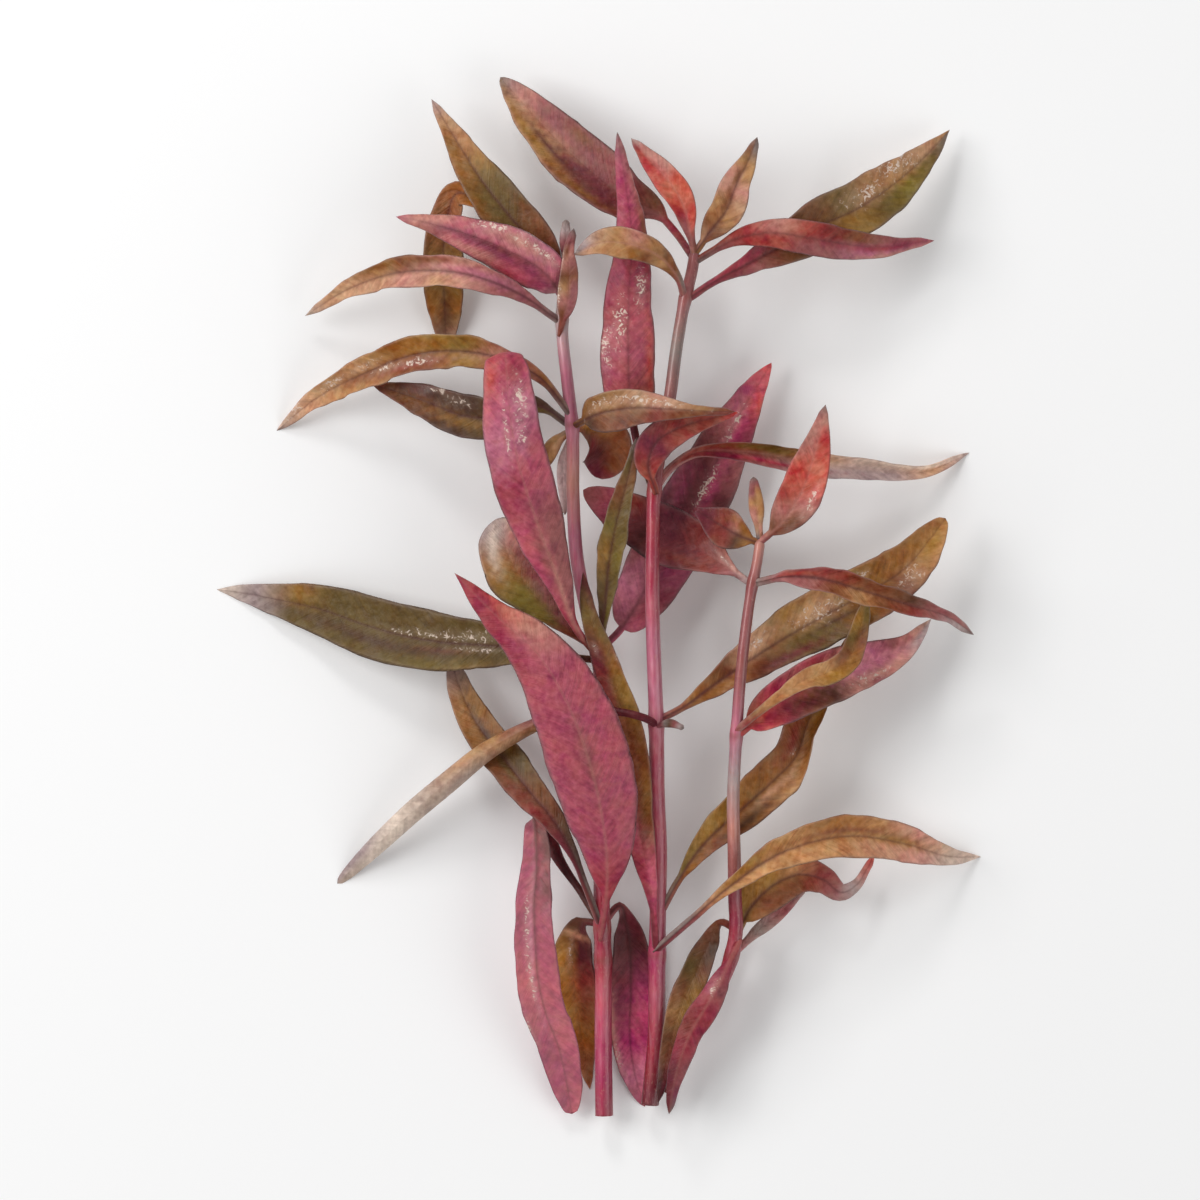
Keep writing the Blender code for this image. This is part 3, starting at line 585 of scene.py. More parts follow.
        ((-7.6, 60.6, 19), (-11, 65.2, 22), (-14, 67.4, 22.8), (-20, 70.4, 23), (-26, 72.8, 22),
         (-32, 74.6, 20), (-37, 75.9, 17.6), (-40.8, 76.6, 16)),
        10.2, (-12, -12), (-12, -12), petiole=0.04, widest=0.3, base=0.7, tip=0.95,
        rib=RED, tints="mist rose rose rose dusk rose rose dusk blush mauve",
        right_tints="mist pink mauve mauve pink rose rose blush blush mauve",
        marks=((0.32, 0.5, 5, 1.3, "mauve"), (0.47, 0.5, 4, 1, "mauve"),
            (0.74, 0.9, 3, 0.8, "blush"), (0.69, 0, 4, 0.6, "plum"), (0.48, -0.2, 6, 0.6, "plum"),
            (0.34, -0.3, 6, 0.7, "plum"), (0.17, -0.3, 5, 0.7, "plum"), (0.51, 0.8, 4, 1, "gloss"),
            (0.34, 1, 3, 0.9, "gloss"), (0.36, 0.5, 9, 1.6, "blush"), (0.26, 0.6, 6, 0.8, "gloss"),
            (0.43, -0.1, 9, 0.5, "wine"), (0.55, -0.7, 6, 0.8, "blush"),
            (0.33, -0.8, 6, 1, "crimson")),
    ),
    "leaf_left_4_lower": Leaf(
        LEFT, "orange",
        ((-8, 55.6, 18.5), (-16, 61, 22), (-26, 64.8, 24), (-38, 65.6, 20), (-49, 62.8, 12),
         (-59.2, 57, 4)),
        6.8, (20, 20), (20, 20), base=0.9,
        light=1.05, tints="grey dusk dusk blush sand blush sand sand sand pale",
        right_tints="grey dusk dusk blush blush rust tan sand sand pale",
        marks=((0.62, 0.8, 9, 1, "orange"), (0.31, 0.2, 8, 1.2, "mauve"),
            (0.48, 0.7, 7, 0.8, "rust")),
    ),
    "leaf_left_5_left": Leaf(
        LEFT, "olive",
        ((-7.4, 64, 17.5), (-11.8, 69.4, 17.5), (-17.8, 76.4, 17), (-23.6, 83.8, 15.5),
         (-28.4, 91.4, 12.5), (-33.8, 100.4, 8)),
        10.2, petiole=0.04, widest=0.34, base=0.7, tip=0.95,
        tints="brick rust olive olive olive orange tan sand mist",
        right_tints="brick rust rust olive olive golden tan sand mist",
        marks=((0.48, 0.1, 6, 2, "olive"), (0.72, -0.5, 7, 1.6, "orange"),
            (0.28, 0.7, 5, 1.2, "rust"), (0.45, -0.9, 5, 1.6, "orange")),
    ),
    "leaf_left_5_back": Leaf(
        LEFT, "orange",
        ((-7.6, 62.4, 16.6), (-17, 72, 13), (-24, 79.8, 10.8), (-28.6, 81.4, 9.4),
         (-30.6, 76.4, 8), (-31.4, 68.4, 6.2), (-31.2, 60, 3.4), (-30.8, 49.6, -0.3)),
        8.6, widest=0.7, tip=0.7,
        light=1.5, tints="rust orange orange orange rust olive orange grey",
        marks=((0.52, 0.8, 3, 1.2, "rust"), (0.87, -0.1, 5, 1.6, "brown")),
    ),
    "leaf_left_bud_tall": Leaf(
        LEFT, "red",
        ((-7.6, 55.2, 19.8), (-6.4, 60.4, 21.4), (-6.2, 65, 21.4), (-6.2, 69.4, 20.8),
         (-5.2, 74.2, 20.2)),
        4.2, petiole=0.04, widest=0.34, tip=0.9,
        rib=PLAIN, light=0.9, tints="brick rust blush tan rust blush rust dusk grey",
        right_tints="brick dusk dusk dusk rust dusk blush dusk grey",
        marks=((0.28, -0.9, 3, 0.5, "gloss"), (0.64, -1, 2, 0.5, "gloss")),
    ),
    "leaf_left_bud_short": Leaf(
        LEFT, "red",
        ((-7, 66.4, 18), (-6.9, 71, 18.6), (-6.8, 76, 18.2)),
        2.4, widest=0.5, tip=0.6,
        rib=PLAIN, tints="blush dusk dusk mist grey",
    ),
}
count = sum(leaf.stem == LEFT for leaf in LEAVES.values())
print(f"{count} leaves and buds on the left stem")

# %% [markdown]
# ## The leaves of the middle stem
#
# The middle stem is the tallest. Its leaves go from orange and tan low down to coral red
# at its tip. The angles of a half blade may change from base to tip, as on
# leaf_middle_1_up, whose right half folds up towards the tip.

# %% Table of the middle stem's leaves
LEAVES |= {
    # Middle stem, first node from the bottom
    "leaf_middle_1_right": Leaf(
        MIDDLE, "orange",
        ((11.8, -69.6, 11), (16.8, -65.2, 13.5), (26, -57.2, 17.5), (36, -50.6, 19.5), (49, -47.2, 18),
         (61, -48.8, 12), (70, -51.4, 4.6), (76.6, -51.6, -0.3)),
        9, (18, 18), (18, 18), petiole=0.14, widest=0.6,
        light=1.3, tints="grey grey tan rust tan orange tan blush sand bone",
        right_tints="wine dusk tan tan tan tan sand blush pale bone",
        marks=((0.31, -0.6, 6, 1.2, "golden"), (0.72, -0.1, 8, 1.2, "golden"),
            (0.58, -0.3, 12, 0.6, "rust"), (0.92, -0.5, 5, 3, "pale")),
    ),
    "leaf_middle_1_up": Leaf(
        MIDDLE, "orange",
        ((11.8, -63.4, 11.2), (15.2, -57, 12.4), (20.1, -49.7, 13), (28.8, -41.5, 12.6),
         (33.9, -36.9, 11.8), (39.4, -31, 10.6), (41.4, -25.2, 9.6), (45, -17.6, 8.4),
         (49.4, -10.6, 6.8), (51.6, -5, 5.6)),
        9.8, (15, 15), (15, 15, 15, 15, 12, 20, 62, 62, 55, 45, 40),
        petiole=0.1, widest=0.52, base=0.8, tip=0.75,
        light=1.25, tints="grey olive golden orange orange rust orange golden tan",
        right_tints="dusk orange rust orange tan orange golden orange golden",
        marks=((0.95, 0.9, 9, 1, "golden"), (0.33, -1, 6, 2, "golden"),
            (0.62, -0.4, 6, 1.2, "brick"), (0.46, 0.3, 7, 0.8, "sand"),
            (0.62, -1, 1.2, 0.4, "gloss"), (0.59, -0.2, 1.4, 0.4, "gloss"),
            (0.34, 0.6, 8, 0.8, "brown")),
    ),
    "leaf_middle_1_left": Leaf(
        MIDDLE, "olive",
        ((11.2, -69.4, 10.8), (10.8, -63, 13.2), (10, -57, 14.6), (8.8, -51, 15.8), (7.6, -44, 17),
         (6.8, -36, 18.2), (6, -29, 19.2), (4.6, -23, 19.8), (2.6, -17, 20.4), (0.6, -11, 21.4),
         (-1.4, -5.6, 22), (-2.6, -0.6, 21.8), (-3.4, 5.6, 21.5)),
        7, (10, 10), (10, 10), petiole=0.1, widest=0.5, base=0.8, tip=0.7,
        rib=PLAIN, light=1.3, tints="wine wine crimson rose brick rust brick wine olive maroon",
        right_tints="wine crimson rose rust rust rust golden rust olive rust",
        marks=((0.21, 0.5, 8, 1, "rose"), (0.42, 0.7, 9, 1.2, "orange"),
            (0.68, 0.6, 6, 1.2, "golden"), (0.69, -0.6, 6, 0.9, "brick"),
            (0.8, -0.4, 1.4, 0.5, "gloss"), (0.76, 1, 1.4, 0.5, "gloss"),
            (0.84, 0.7, 4, 1.2, "olive"), (0.95, 1, 6, 1.3, "maroon")),
    ),
    # Middle stem, second node
    "leaf_middle_2_right": Leaf(
        MIDDLE, "orange",
        ((11.6, -24, 18.5), (16.6, -21.4, 18.2), (23.3, -16.6, 17), (36, -8.2, 15), (44, -3.6, 14.4),
         (52.4, 0.9, 14), (61, 6.3, 13), (66.2, 12.4, 11.4), (69.2, 16.4, 10)),
        12.8, (18, 18), (18, 18), petiole=0.06, widest=0.6, base=0.65, tip=0.55,
        light=1.2, tints="dusk orange rust sand golden tan golden orange orange tan",
        right_tints="dusk brown rust rust olive olive orange rust tan tan",
        marks=((0.4, 0.7, 9, 1, "wine"), (0.34, -0.5, 3, 1.2, "gloss"),
            (0.69, -0.6, 2, 1.2, "gloss"), (0.81, 0.4, 3, 1.8, "gloss"),
            (0.58, 0.3, 6, 0.5, "brown"), (0.52, -0.3, 8, 1.8, "tan"),
            (0.17, 0.6, 8, 1.6, "orange"), (0.54, -0.2, 6, 2.2, "gloss"),
            (0.91, 0.3, 5, 1.5, "golden")),
    ),
    "leaf_middle_2_left": Leaf(
        MIDDLE, "pale",
        ((10.8, -24.6, 19.6), (9, -23.6, 22.5), (3, -22.2, 23), (-7, -23, 20.4), (-13.2, -25, 18.2),
         (-17.6, -27.2, 17.3), (-23.6, -30.8, 15.2), (-30.6, -36.6, 12), (-38.2, -43, 8.6),
         (-44.4, -48.8, 5.4), (-52.8, -57, -0.3)),
        7.4, (-58, -56, -50), (-58, -56, -50), widest=0.62, base=0.8, tip=0.4,
        rib=PLAIN, wave=0.0, light=0.88, tints="wine wine dusk tan sand pale pale bone bone pale",
        right_tints="wine wine dusk dusk tan sand pale bone mist mist",
    ),
    "bud_middle": Leaf(
        MIDDLE, "orange",
        ((11.4, -25.2, 19), (14, -24.6, 20.5), (16.8, -25.6, 21)),
        1.8,
        rib=PLAIN, tints="dusk dusk grey brown dusk mist grey",
    ),
    # Middle stem, third node
    "leaf_middle_3_up": Leaf(
        MIDDLE, "red",
        ((11, 22, 23.5), (9.6, 27, 24.5), (11.2, 31.4, 25), (15.6, 34.2, 24.5), (21.2, 36, 23.5),
         (27.6, 37.4, 22)),
        7.2, (10, 10), (10, 10), widest=0.38,
        light=1.35, tints="brick brick wine brick brick brick coral",
    ),
    "leaf_middle_3_right": Leaf(
        MIDDLE, "pale",
        ((11, 22, 21), (13.4, 25.6, 20.5), (18, 29, 18.5), (29, 29.6, 17), (41, 27.6, 13.5),
         (54, 26.3, 8.6), (65, 25.8, 4), (74.2, 29.6, -0.3)),
        7, (50, 50), (40, 40),
        rib=PALE, wave=0.3, light=1.35, tints="dusk brick brick olive tan pale pale sand mist",
        right_tints="dusk brick wine dusk mist mist mist sand mist",
        marks=((0.34, -0.6, 6, 0.7, "olive"), (0.36, 0.5, 11, 0.5, "crimson"),
            (0.76, -0.8, 12, 0.5, "bone")),
    ),
    "leaf_middle_3_tall": Leaf(
        MIDDLE, "pink",
        ((10.6, 22, 21), (8, 29, 20.5), (6.2, 38, 21), (5.6, 50, 22), (5.8, 62, 22.5),
         (6.4, 72, 22.5), (5.2, 82, 22.5), (3.4, 93.4, 21.5)),
        11.4, (-15, -15), (-20, -20), petiole=0.2, widest=0.35, base=0.5, tip=0.8,
        rib=RED, tints="brown wine rose rose crimson rose rose rose grey",
        right_tints="brown wine brick rose rose crimson rose blush grey",
        marks=((0.81, -0.1, 10, 1.6, "magenta"), (0.72, 0.8, 6, 0.8, "rust"),
            (0.61, 0, 5, 2, "crimson"), (0.56, 0.5, 4, 1.2, "gloss"),
            (0.46, -0.3, 6, 1.6, "gloss"), (0.39, -0.8, 5, 1.2, "gloss"),
            (0.36, 0.8, 7, 1, "coral")),
    ),
    # Middle stem, top
    "leaf_middle_4_left": Leaf(
        MIDDLE, "orange",
        ((16.8, 60.2, 20), (15.6, 64.2, 23.5), (11.8, 68.4, 26), (6.4, 70.8, 27), (0.4, 71.2, 26),
         (-5.2, 68.8, 23.5)),
        6.6, widest=0.6,
        rib=LIGHT, tints="dusk dusk rust tan rust orange tan tan sand grey",
        right_tints="dusk grey rust rust tan blush tan sand mist grey",
    ),
    "leaf_middle_4_right": Leaf(
        MIDDLE, "olive",
        ((17.4, 60, 20), (22.6, 63.4, 20.5), (30.2, 67.4, 18.8), (38, 71.6, 16.8), (44.4, 75, 15),
         (51.2, 78.1, 13), (58.7, 83.2, 9.6), (64.8, 88.5, 6.6), (70.2, 94.4, 4)),
        11.8, (18, 18), (18, 18), widest=0.58, base=0.9, tip=1.05,
        tints="dusk crimson crimson rust rust olive tan tan sand tan",
        right_tints="dusk wine dusk rust rust golden olive moss olive grey",
        marks=((0.64, -0.3, 5, 2, "gloss"), (0.78, -0.6, 6, 2, "gloss"),
            (0.72, -0.5, 8, 2.2, "tan"), (0.14, -0.5, 9, 1.2, "crimson")),
    ),
    "leaf_middle_5_left": Leaf(
        MIDDLE, "olive",
        ((18.4, 68.6, 19), (15, 73.6, 18.4), (11.6, 77.2, 18.2), (4.8, 80.6, 17.4), (-0.8, 84.8, 16.4),
         (-6.8, 90.1, 14), (-12.9, 96.6, 11), (-20, 104.8, 7)),
        12.4, (22, 22), (10, 10), petiole=0.16, widest=0.5, base=1, tip=0.65,
        rib=PLAIN, tints="dusk crimson dusk brick wine rust tan tan sand grey",
        right_tints="dusk crimson rust dusk dusk dusk dusk dusk blush grey",
        marks=((0.6, 0.7, 5, 1.4, "rust"), (0.65, -0.4, 9, 0.7, "maroon"),
            (0.51, -0.2, 8, 1, "wine"), (0.4, -0.5, 6, 1.8, "wine"),
            (0.76, -0.7, 9, 0.8, "golden"), (0.48, -0.8, 6, 0.9, "orange")),
    ),
    "leaf_middle_5_red": Leaf(
        MIDDLE, "red",
        ((18.8, 69.4, 19.8), (18, 73, 22.2), (16.5, 78.9, 22.8), (12.7, 84.8, 22.2),
         (9.7, 88.1, 21.4), (6.2, 92.2, 20)),
        5.9, (12, 12), (12, 12), widest=0.52,
        rib=LIGHT, tints="blush dusk dusk red coral coral coral coral red grey",
        right_tints="rust dusk coral coral coral coral blush blush blush mist",
    ),
    "leaf_middle_5_up": Leaf(
        MIDDLE, "orange",
        ((19.2, 69.6, 19.8), (21.6, 73, 21), (25.3, 77.9, 22.4), (27.2, 82.9, 22.6),
         (29.7, 87.9, 22.2), (31.4, 92.4, 21.4)),
        7, widest=0.42,
        tints="blush sand rust tan tan blush blush tan rust grey",
        right_tints="tan rust rust tan sand blush tan tan grey grey",
        marks=((0.45, -0.2, 3, 0.8, "rust"), (0.64, -0.2, 3, 0.7, "rust")),
    ),
    "leaf_middle_5_right": Leaf(
        MIDDLE, "red",
        ((18.8, 67.4, 19.6), (22, 69.4, 20.4), (26, 71.6, 21.6), (33, 73.2, 22.4), (43, 72, 21.2),
         (54, 70.6, 16.6), (67, 72, 9)),
        7, (-10, -10), (-10, -10),
        rib=RED, tints="brick brick red blush red brick rust dusk dusk mauve",
        right_tints="grey dusk red red dusk dusk mauve mauve mauve mauve",
        marks=((0.79, 0.2, 13, 0.7, "crimson"), (0.82, 0.9, 10, 0.6, "blush")),
    ),
}
count = sum(leaf.stem == MIDDLE for leaf in LEAVES.values())
print(f"{count} leaves and buds on the middle stem")

# %% [markdown]
# ## The leaves of the right stem
#
# The right stem is the shortest. One of its leaves hangs down in front of it, and a small
# red one stands up at its tip.

# %% Table of the right stem's leaves
LEAVES |= {
    # Right stem, first node from the bottom
    "leaf_right_1_front": Leaf(
        RIGHT, "pink",
        ((27, -70.2, 12.6), (25, -74.2, 14.8), (22.2, -79.6, 15), (17.9, -87, 13.8),
         (15.6, -93.4, 12.4), (13.8, -103, 9.8)),
        5.6, (-15, -15), (-15, -15), widest=0.42, base=0.9, tip=0.8,
        rib=LIGHT, light=0.88, tints="crimson crimson dusk crimson crimson crimson dusk plum grey",
        right_tints="crimson crimson rose crimson brick crimson wine wine wine",
        marks=((0.23, 0.2, 2, 0.6, "gloss"),),
    ),
    "leaf_right_1_left": Leaf(
        RIGHT, "olive",
        ((27.2, -66, 11.2), (24.2, -64.6, 8.4), (21.6, -69.4, 7.4), (18.6, -76, 8.2), (16.4, -81, 9),
         (14.8, -86, 9.4), (13.6, -91, 9.2), (12.6, -96, 9), (11.6, -101, 8)),
        6, (10, 10), (10, 10), widest=0.4,
        rib=PLAIN, light=0.85, tints="brick rust brown rust golden golden rust brick wine maroon",
        right_tints="brick rust rust olive rust tan rust rust maroon maroon",
    ),
    "leaf_right_1_right": Leaf(
        RIGHT, "orange",
        ((27.4, -67, 10), (30.6, -61, 10.6), (35, -57, 10.6), (40, -55, 10), (44.6, -56, 8.8),
         (48.6, -58.6, 7.6), (51.4, -57, 6.6), (53.4, -54, 6), (55.2, -50.6, 5.6)),
        9.2, widest=0.33, base=0.9, tip=1.6,
        light=1.2, tints="olive golden golden golden tan brick dusk mist blush coral",
        right_tints="olive orange rust rust rust brick dusk mist blush coral",
    ),
    "leaf_right_1_low": Leaf(
        RIGHT, "pale",
        ((27.2, -70.4, 9), (32.4, -65.6, 7.4), (37.6, -61.2, 6.8), (41.4, -57.4, 6.4)),
        3,
        rib=PLAIN, light=1.6, tints="dusk grey dusk grey",
    ),
    # Right stem, second node
    "leaf_right_2_right": Leaf(
        RIGHT, "red",
        ((27.6, -27, 20.6), (30.6, -24.6, 20.4), (34.9, -21.3, 19.6), (41.2, -17.8, 17.6),
         (48.5, -14.4, 15), (55.4, -12.1, 12.6), (61.1, -9.4, 10.4), (66.4, -3.8, 8)),
        10.8, (5, 5), (12, 12), petiole=0.05, widest=0.45, base=0.45,
        rib=PLAIN, light=1.3, tints="brick brick crimson dusk brick blush mauve dusk blush pale",
        right_tints="brick coral wine rust brown blush dusk blush mist mist",
        # The maroon mark on its right half is a painted shadow, cast by leaf_right_2_over above it
        marks=((0.32, 0.6, 6, 1.6, "maroon"), (0.42, -0.9, 5, 1, "crimson"),
            (0.66, 0.6, 6, 0.5, "blush"), (0.63, 0.1, 8, 1.4, "mauve"), (0.63, 0.6, 5, 1, "gloss"),
            (0.12, 0.6, 6, 1.6, "crimson")),
    ),
    "leaf_right_2_over": Leaf(
        RIGHT, "olive",
        ((27.4, -25.8, 21), (31.4, -22.6, 22.4), (36, -19, 22.2), (41, -16, 21), (46, -14.2, 19.6),
         (49.4, -12, 18.8), (51.2, -8.6, 18), (52.2, -4.6, 17.4), (53.2, 0.4, 16.6)),
        5.2, (20, 20), (20, 20), petiole=0.1, widest=0.6, tip=0.6,
        rib=PLAIN, light=1.2, tints="dusk rust tan tan tan tan rust olive golden brown",
        right_tints="dusk brick tan tan tan golden golden rust olive olive",
    ),
    # Right stem, third node
    "leaf_right_3_left": Leaf(
        RIGHT, "maroon",
        ((30, 3.4, 21), (25.6, 6.4, 19), (19.6, 10, 16), (11.4, 13.8, 15), (3.6, 18, 14.5),
         (-3.4, 22, 14)),
        12, (12, 12), (12, 12), widest=0.5, tip=0.6,
        rib=PLAIN, light=1.1, tints="mist dusk brick wine wine maroon wine rose dusk",
        right_tints="mist blush brick brick wine wine brick rose dusk",
        marks=((0.17, 0.4, 3, 0.35, "gloss"), (0.34, -0.6, 7, 1.2, "brick")),
    ),
    "leaf_right_3_right": Leaf(
        RIGHT, "red",
        ((30.8, 3.4, 22.4), (36.4, 4.6, 24), (43, 4.4, 25), (52, 2, 24.5), (61, -0.8, 22),
         (69, -3.2, 18), (74.8, -7, 14)),
        6.5, (35, 35), (35, 35), widest=0.4,
        light=1.2, tints="grey dusk dusk brick rust rust brown dusk dusk grey",
        right_tints="grey dusk dusk rust tan rust brick dusk mist grey",
        marks=((0.19, -0.4, 5, 0.7, "red"),),
    ),
    # Right stem, top
    "leaf_right_4_left": Leaf(
        RIGHT, "orange",
        ((31.8, 11.4, 21.4), (28, 12.7, 21.2), (23.6, 15.2, 20.7), (18.6, 18.2, 20)),
        8, base=0.9, tip=1.2,
        tints="rust orange brown brick brick wine wine wine",
        right_tints="tan tan rust blush brick brick wine wine wine",
        marks=((0.24, 0.7, 4, 1.3, "orange"),),
    ),
    "leaf_right_4_right": Leaf(
        RIGHT, "red",
        ((32, 11.6, 21.8), (35.8, 15, 23), (39.8, 20.8, 24), (42.8, 29.6, 24), (45, 39, 22)),
        9, (12, 12), (12, 12), widest=0.42, base=0.9,
        rib=LIGHT, tints="blush rust blush red coral coral blush blush blush grey",
        right_tints="dusk rust rust blush coral coral coral coral blush grey",
        marks=((0.4, 0.6, 3, 0.8, "gloss"), (0.54, -0.5, 4, 1.6, "coral")),
    ),
    "bud_right": Leaf(
        RIGHT, "red",
        ((31.9, 12.4, 21.6), (31.2, 18.6, 22), (30.6, 24.6, 22)),
        3.2, widest=0.5, tip=0.6,
        rib=PLAIN, tints="grey sand blush blush tan dusk dusk grey",
        right_tints="sand blush sand tan tan tan tan dusk grey",
    ),
}
count = sum(leaf.stem == RIGHT for leaf in LEAVES.values())
print(f"{count} leaves and buds on the right stem")

# %% [markdown]
# ## Curves through the points
#
# Blender's curve objects could carry the leaves, but a blade needs to know its own left
# and up at each place, also where it folds over itself. A few lines of arithmetic give
# both. The first of them lay a smooth curve through the points and read it at even steps.

# %% Smooth curves
PATH_SAMPLES = 240


def placed(points):
    """The given points with the middle of the bunch moved to the origin."""
    return np.array(points, float) - (*TABLE_CENTRE, 0.0)


def hermite(values, knots, at):
    """Values of a smooth curve through the given ones, read at other knots."""
    values = np.asarray(values, float)
    slopes = np.gradient(values, knots, axis=0)
    piece = np.clip(np.searchsorted(knots, at, side="right") - 1, 0, len(knots) - 2)
    span = knots[piece + 1] - knots[piece]
    t = (at - knots[piece]) / span
    shape = (-1,) + (1,) * (values.ndim - 1)
    t, span = t.reshape(shape), span.reshape(shape)
    start, end = values[piece], values[piece + 1]
    leave, arrive = slopes[piece] * span, slopes[piece + 1] * span
    return (
        (2 * t**3 - 3 * t**2 + 1) * start
        + (t**3 - 2 * t**2 + t) * leave
        + (3 * t**2 - 2 * t**3) * end
        + (t**3 - t**2) * arrive
    )


def walked_along(points):
    """How far each point is from the first, along the line."""
    return np.concatenate([[0.0], np.cumsum(np.linalg.norm(np.diff(points, axis=0), axis=1))])


def smooth_path(points):
    """Evenly spaced points along a smooth curve through the given points."""
    points = np.asarray(points, float)
    knots = walked_along(points)
    curve = hermite(points, knots, np.linspace(0.0, knots[-1], PATH_SAMPLES))
    walked = walked_along(curve)
    return read_at(np.linspace(0.0, walked[-1], PATH_SAMPLES), walked, curve)


axes = {name: smooth_path(placed(stem.path)) for name, stem in STEMS.items()}
for name, axis in axes.items():
    print(f"{name}: {walked_along(axis)[-1]:.0f} mm long")

# %% [markdown]
# ## Left and up along a curve
#
# The left side of a blade turns as little as possible from one place to the next, so that
# the blade doesn't twist where its midrib bends. A gentle pull keeps it level, because a
# leaf that lies down has no reason to stand on its edge.

# %% Sides of a curve
LEVELLING = 0.05
SKYWARD = (0.0, 0.0, 1.0)


def unit(vector):
    return vector / np.linalg.norm(vector)


def frames(path):
    """Left side and upper side at each point of a path."""
    tangents = np.gradient(path, axis=0)
    tangents /= np.linalg.norm(tangents, axis=1)[:, None]
    side = unit(np.cross(SKYWARD, tangents[0]))
    sides = []
    for tangent in tangents:
        side = unit(side - tangent * side.dot(tangent))
        level = np.cross(SKYWARD, tangent)
        side = unit(side + LEVELLING * np.sign(side.dot(level)) * level)
        sides.append(side)
    sides = np.array(sides)
    return sides, np.cross(tangents, sides)


for name, axis in axes.items():
    lean = np.degrees(np.arccos(frames(axis)[1][:, 2].min()))
    print(f"{name}: its upper side leans by up to {lean:.0f} degrees")

# %% [markdown]
# ## Bare meshes and the trees that dress them
#
# Stems and leaves each follow a rule, so Geometry Nodes make them. The script hands the
# tree a bare mesh whose points carry named values, such as a radius or a colour, and the
# tree's own inputs give the sizes that all pieces share. The outcome is read back and
# the modifier goes, so that what is handed on is a plain mesh.

# %% Groups, bare meshes and grown pieces
CARRIED_KINDS = {
    1: ("FLOAT", "value"),
    3: ("FLOAT_VECTOR", "vector"),
    4: ("FLOAT_COLOR", "color"),
}


def group(name, inputs):
    """A Geometry Nodes group with a geometry going in and out, and these named inputs."""
    made = bpy.data.node_groups.new(name, "GeometryNodeTree")
    made.interface.new_socket("Geometry", in_out="INPUT", socket_type="NodeSocketGeometry")
    made.interface.new_socket("Geometry", in_out="OUTPUT", socket_type="NodeSocketGeometry")
    for title, kind in inputs.items():
        made.interface.new_socket(title, in_out="INPUT", socket_type="NodeSocket" + kind)
    tree = Tree(made)
    entry = made.nodes.new("NodeGroupInput")
    entries = {title: Socket(tree, entry.outputs[title]) for title in ("Geometry", *inputs)}
    return made, tree, entries


def named(tree, name, kind="FLOAT"):
    """The value that each point of a mesh carries under a name."""
    return tree.node("GeometryNodeInputNamedAttribute", {"data_type": kind}, {"Name": name})


def noted(tree, geometry, name, value):
    """The geometry, with a value noted on each of its points under a name."""
    return tree.node(
        "GeometryNodeStoreNamedAttribute", {"data_type": "FLOAT", "domain": "POINT"},
        {"Geometry": geometry, "Name": name, "Value": value},
    )


def finished(tree, geometry, material):
    """The geometry with its instances made real and its material set."""
    real = tree.node("GeometryNodeRealizeInstances", {}, {"Geometry": geometry})
    return tree.node("GeometryNodeSetMaterial", {}, {"Geometry": real, "Material": material})


def scaled(tree, vector, factor):
    return tree.node(
        "ShaderNodeVectorMath", {"operation": "SCALE"}, {"Vector": vector, "Scale": factor}
    )


def opaque(colours):
    """Colours of three numbers, as the four that Blender keeps."""
    return np.concatenate([colours, np.ones((len(colours), 1))], axis=1)


def bare_mesh(name, points, edges, faces, values):
    """A mesh given in millimetres whose points carry the named values."""
    mesh = bpy.data.meshes.new(name)
    mesh.from_pydata(points * MM, edges, faces)
    for title, value in values.items():
        kind, field = CARRIED_KINDS[value.shape[1] if value.ndim == 2 else 1]
        mesh.attributes.new(title, kind, "POINT").data.foreach_set(field, value.ravel())
    return mesh


def grown(name, mesh, tree, values):
    """The mesh that a tree makes of a bare one, as a plain object at the origin."""
    thing = bpy.data.objects.new(name, mesh)
    bpy.context.scene.collection.objects.link(thing)
    modifier = thing.modifiers.new("grow", "NODES")
    modifier.node_group = tree
    for socket in tree.interface.items_tree:
        if socket.in_out == "INPUT" and socket.name in values:
            modifier[socket.identifier] = values[socket.name]
    bpy.context.view_layer.update()
    depsgraph = bpy.context.evaluated_depsgraph_get()
    plain = bpy.data.meshes.new_from_object(thing.evaluated_get(depsgraph))
    thing.modifiers.remove(modifier)
    thing.data = plain
    plain.name = name
    plain.shade_smooth()
    return thing


print("a point may carry", ", ".join(field for _, field in CARRIED_KINDS.values()))

# %% [markdown]
# ## The stems
#
# A stem is a round rod with faint ribs along it. The tree turns the bare line into a
# curve, sweeps a fluted ring along it and closes both ends. The fluting sits in the
# ring, so that every stem has it at once. The line's points also carry the colour, which
# the sweep hands on to the skin, and the tree notes how far each place of the skin faces
# up and a little to the left, towards the key light, where the finish paints a highlight
# as a light stripe. The faces that close the ends have many corners and no others do,
# which is how the tree finds them to give them the pale pith of a cut.

# %% The stem tree
# Where the painted highlight lies: up and a little to the left, towards the key light
PAINTED_HIGHLIGHT_SIDE = (-0.3, 0.0, 0.95)
SKIN_CORNERS = 4


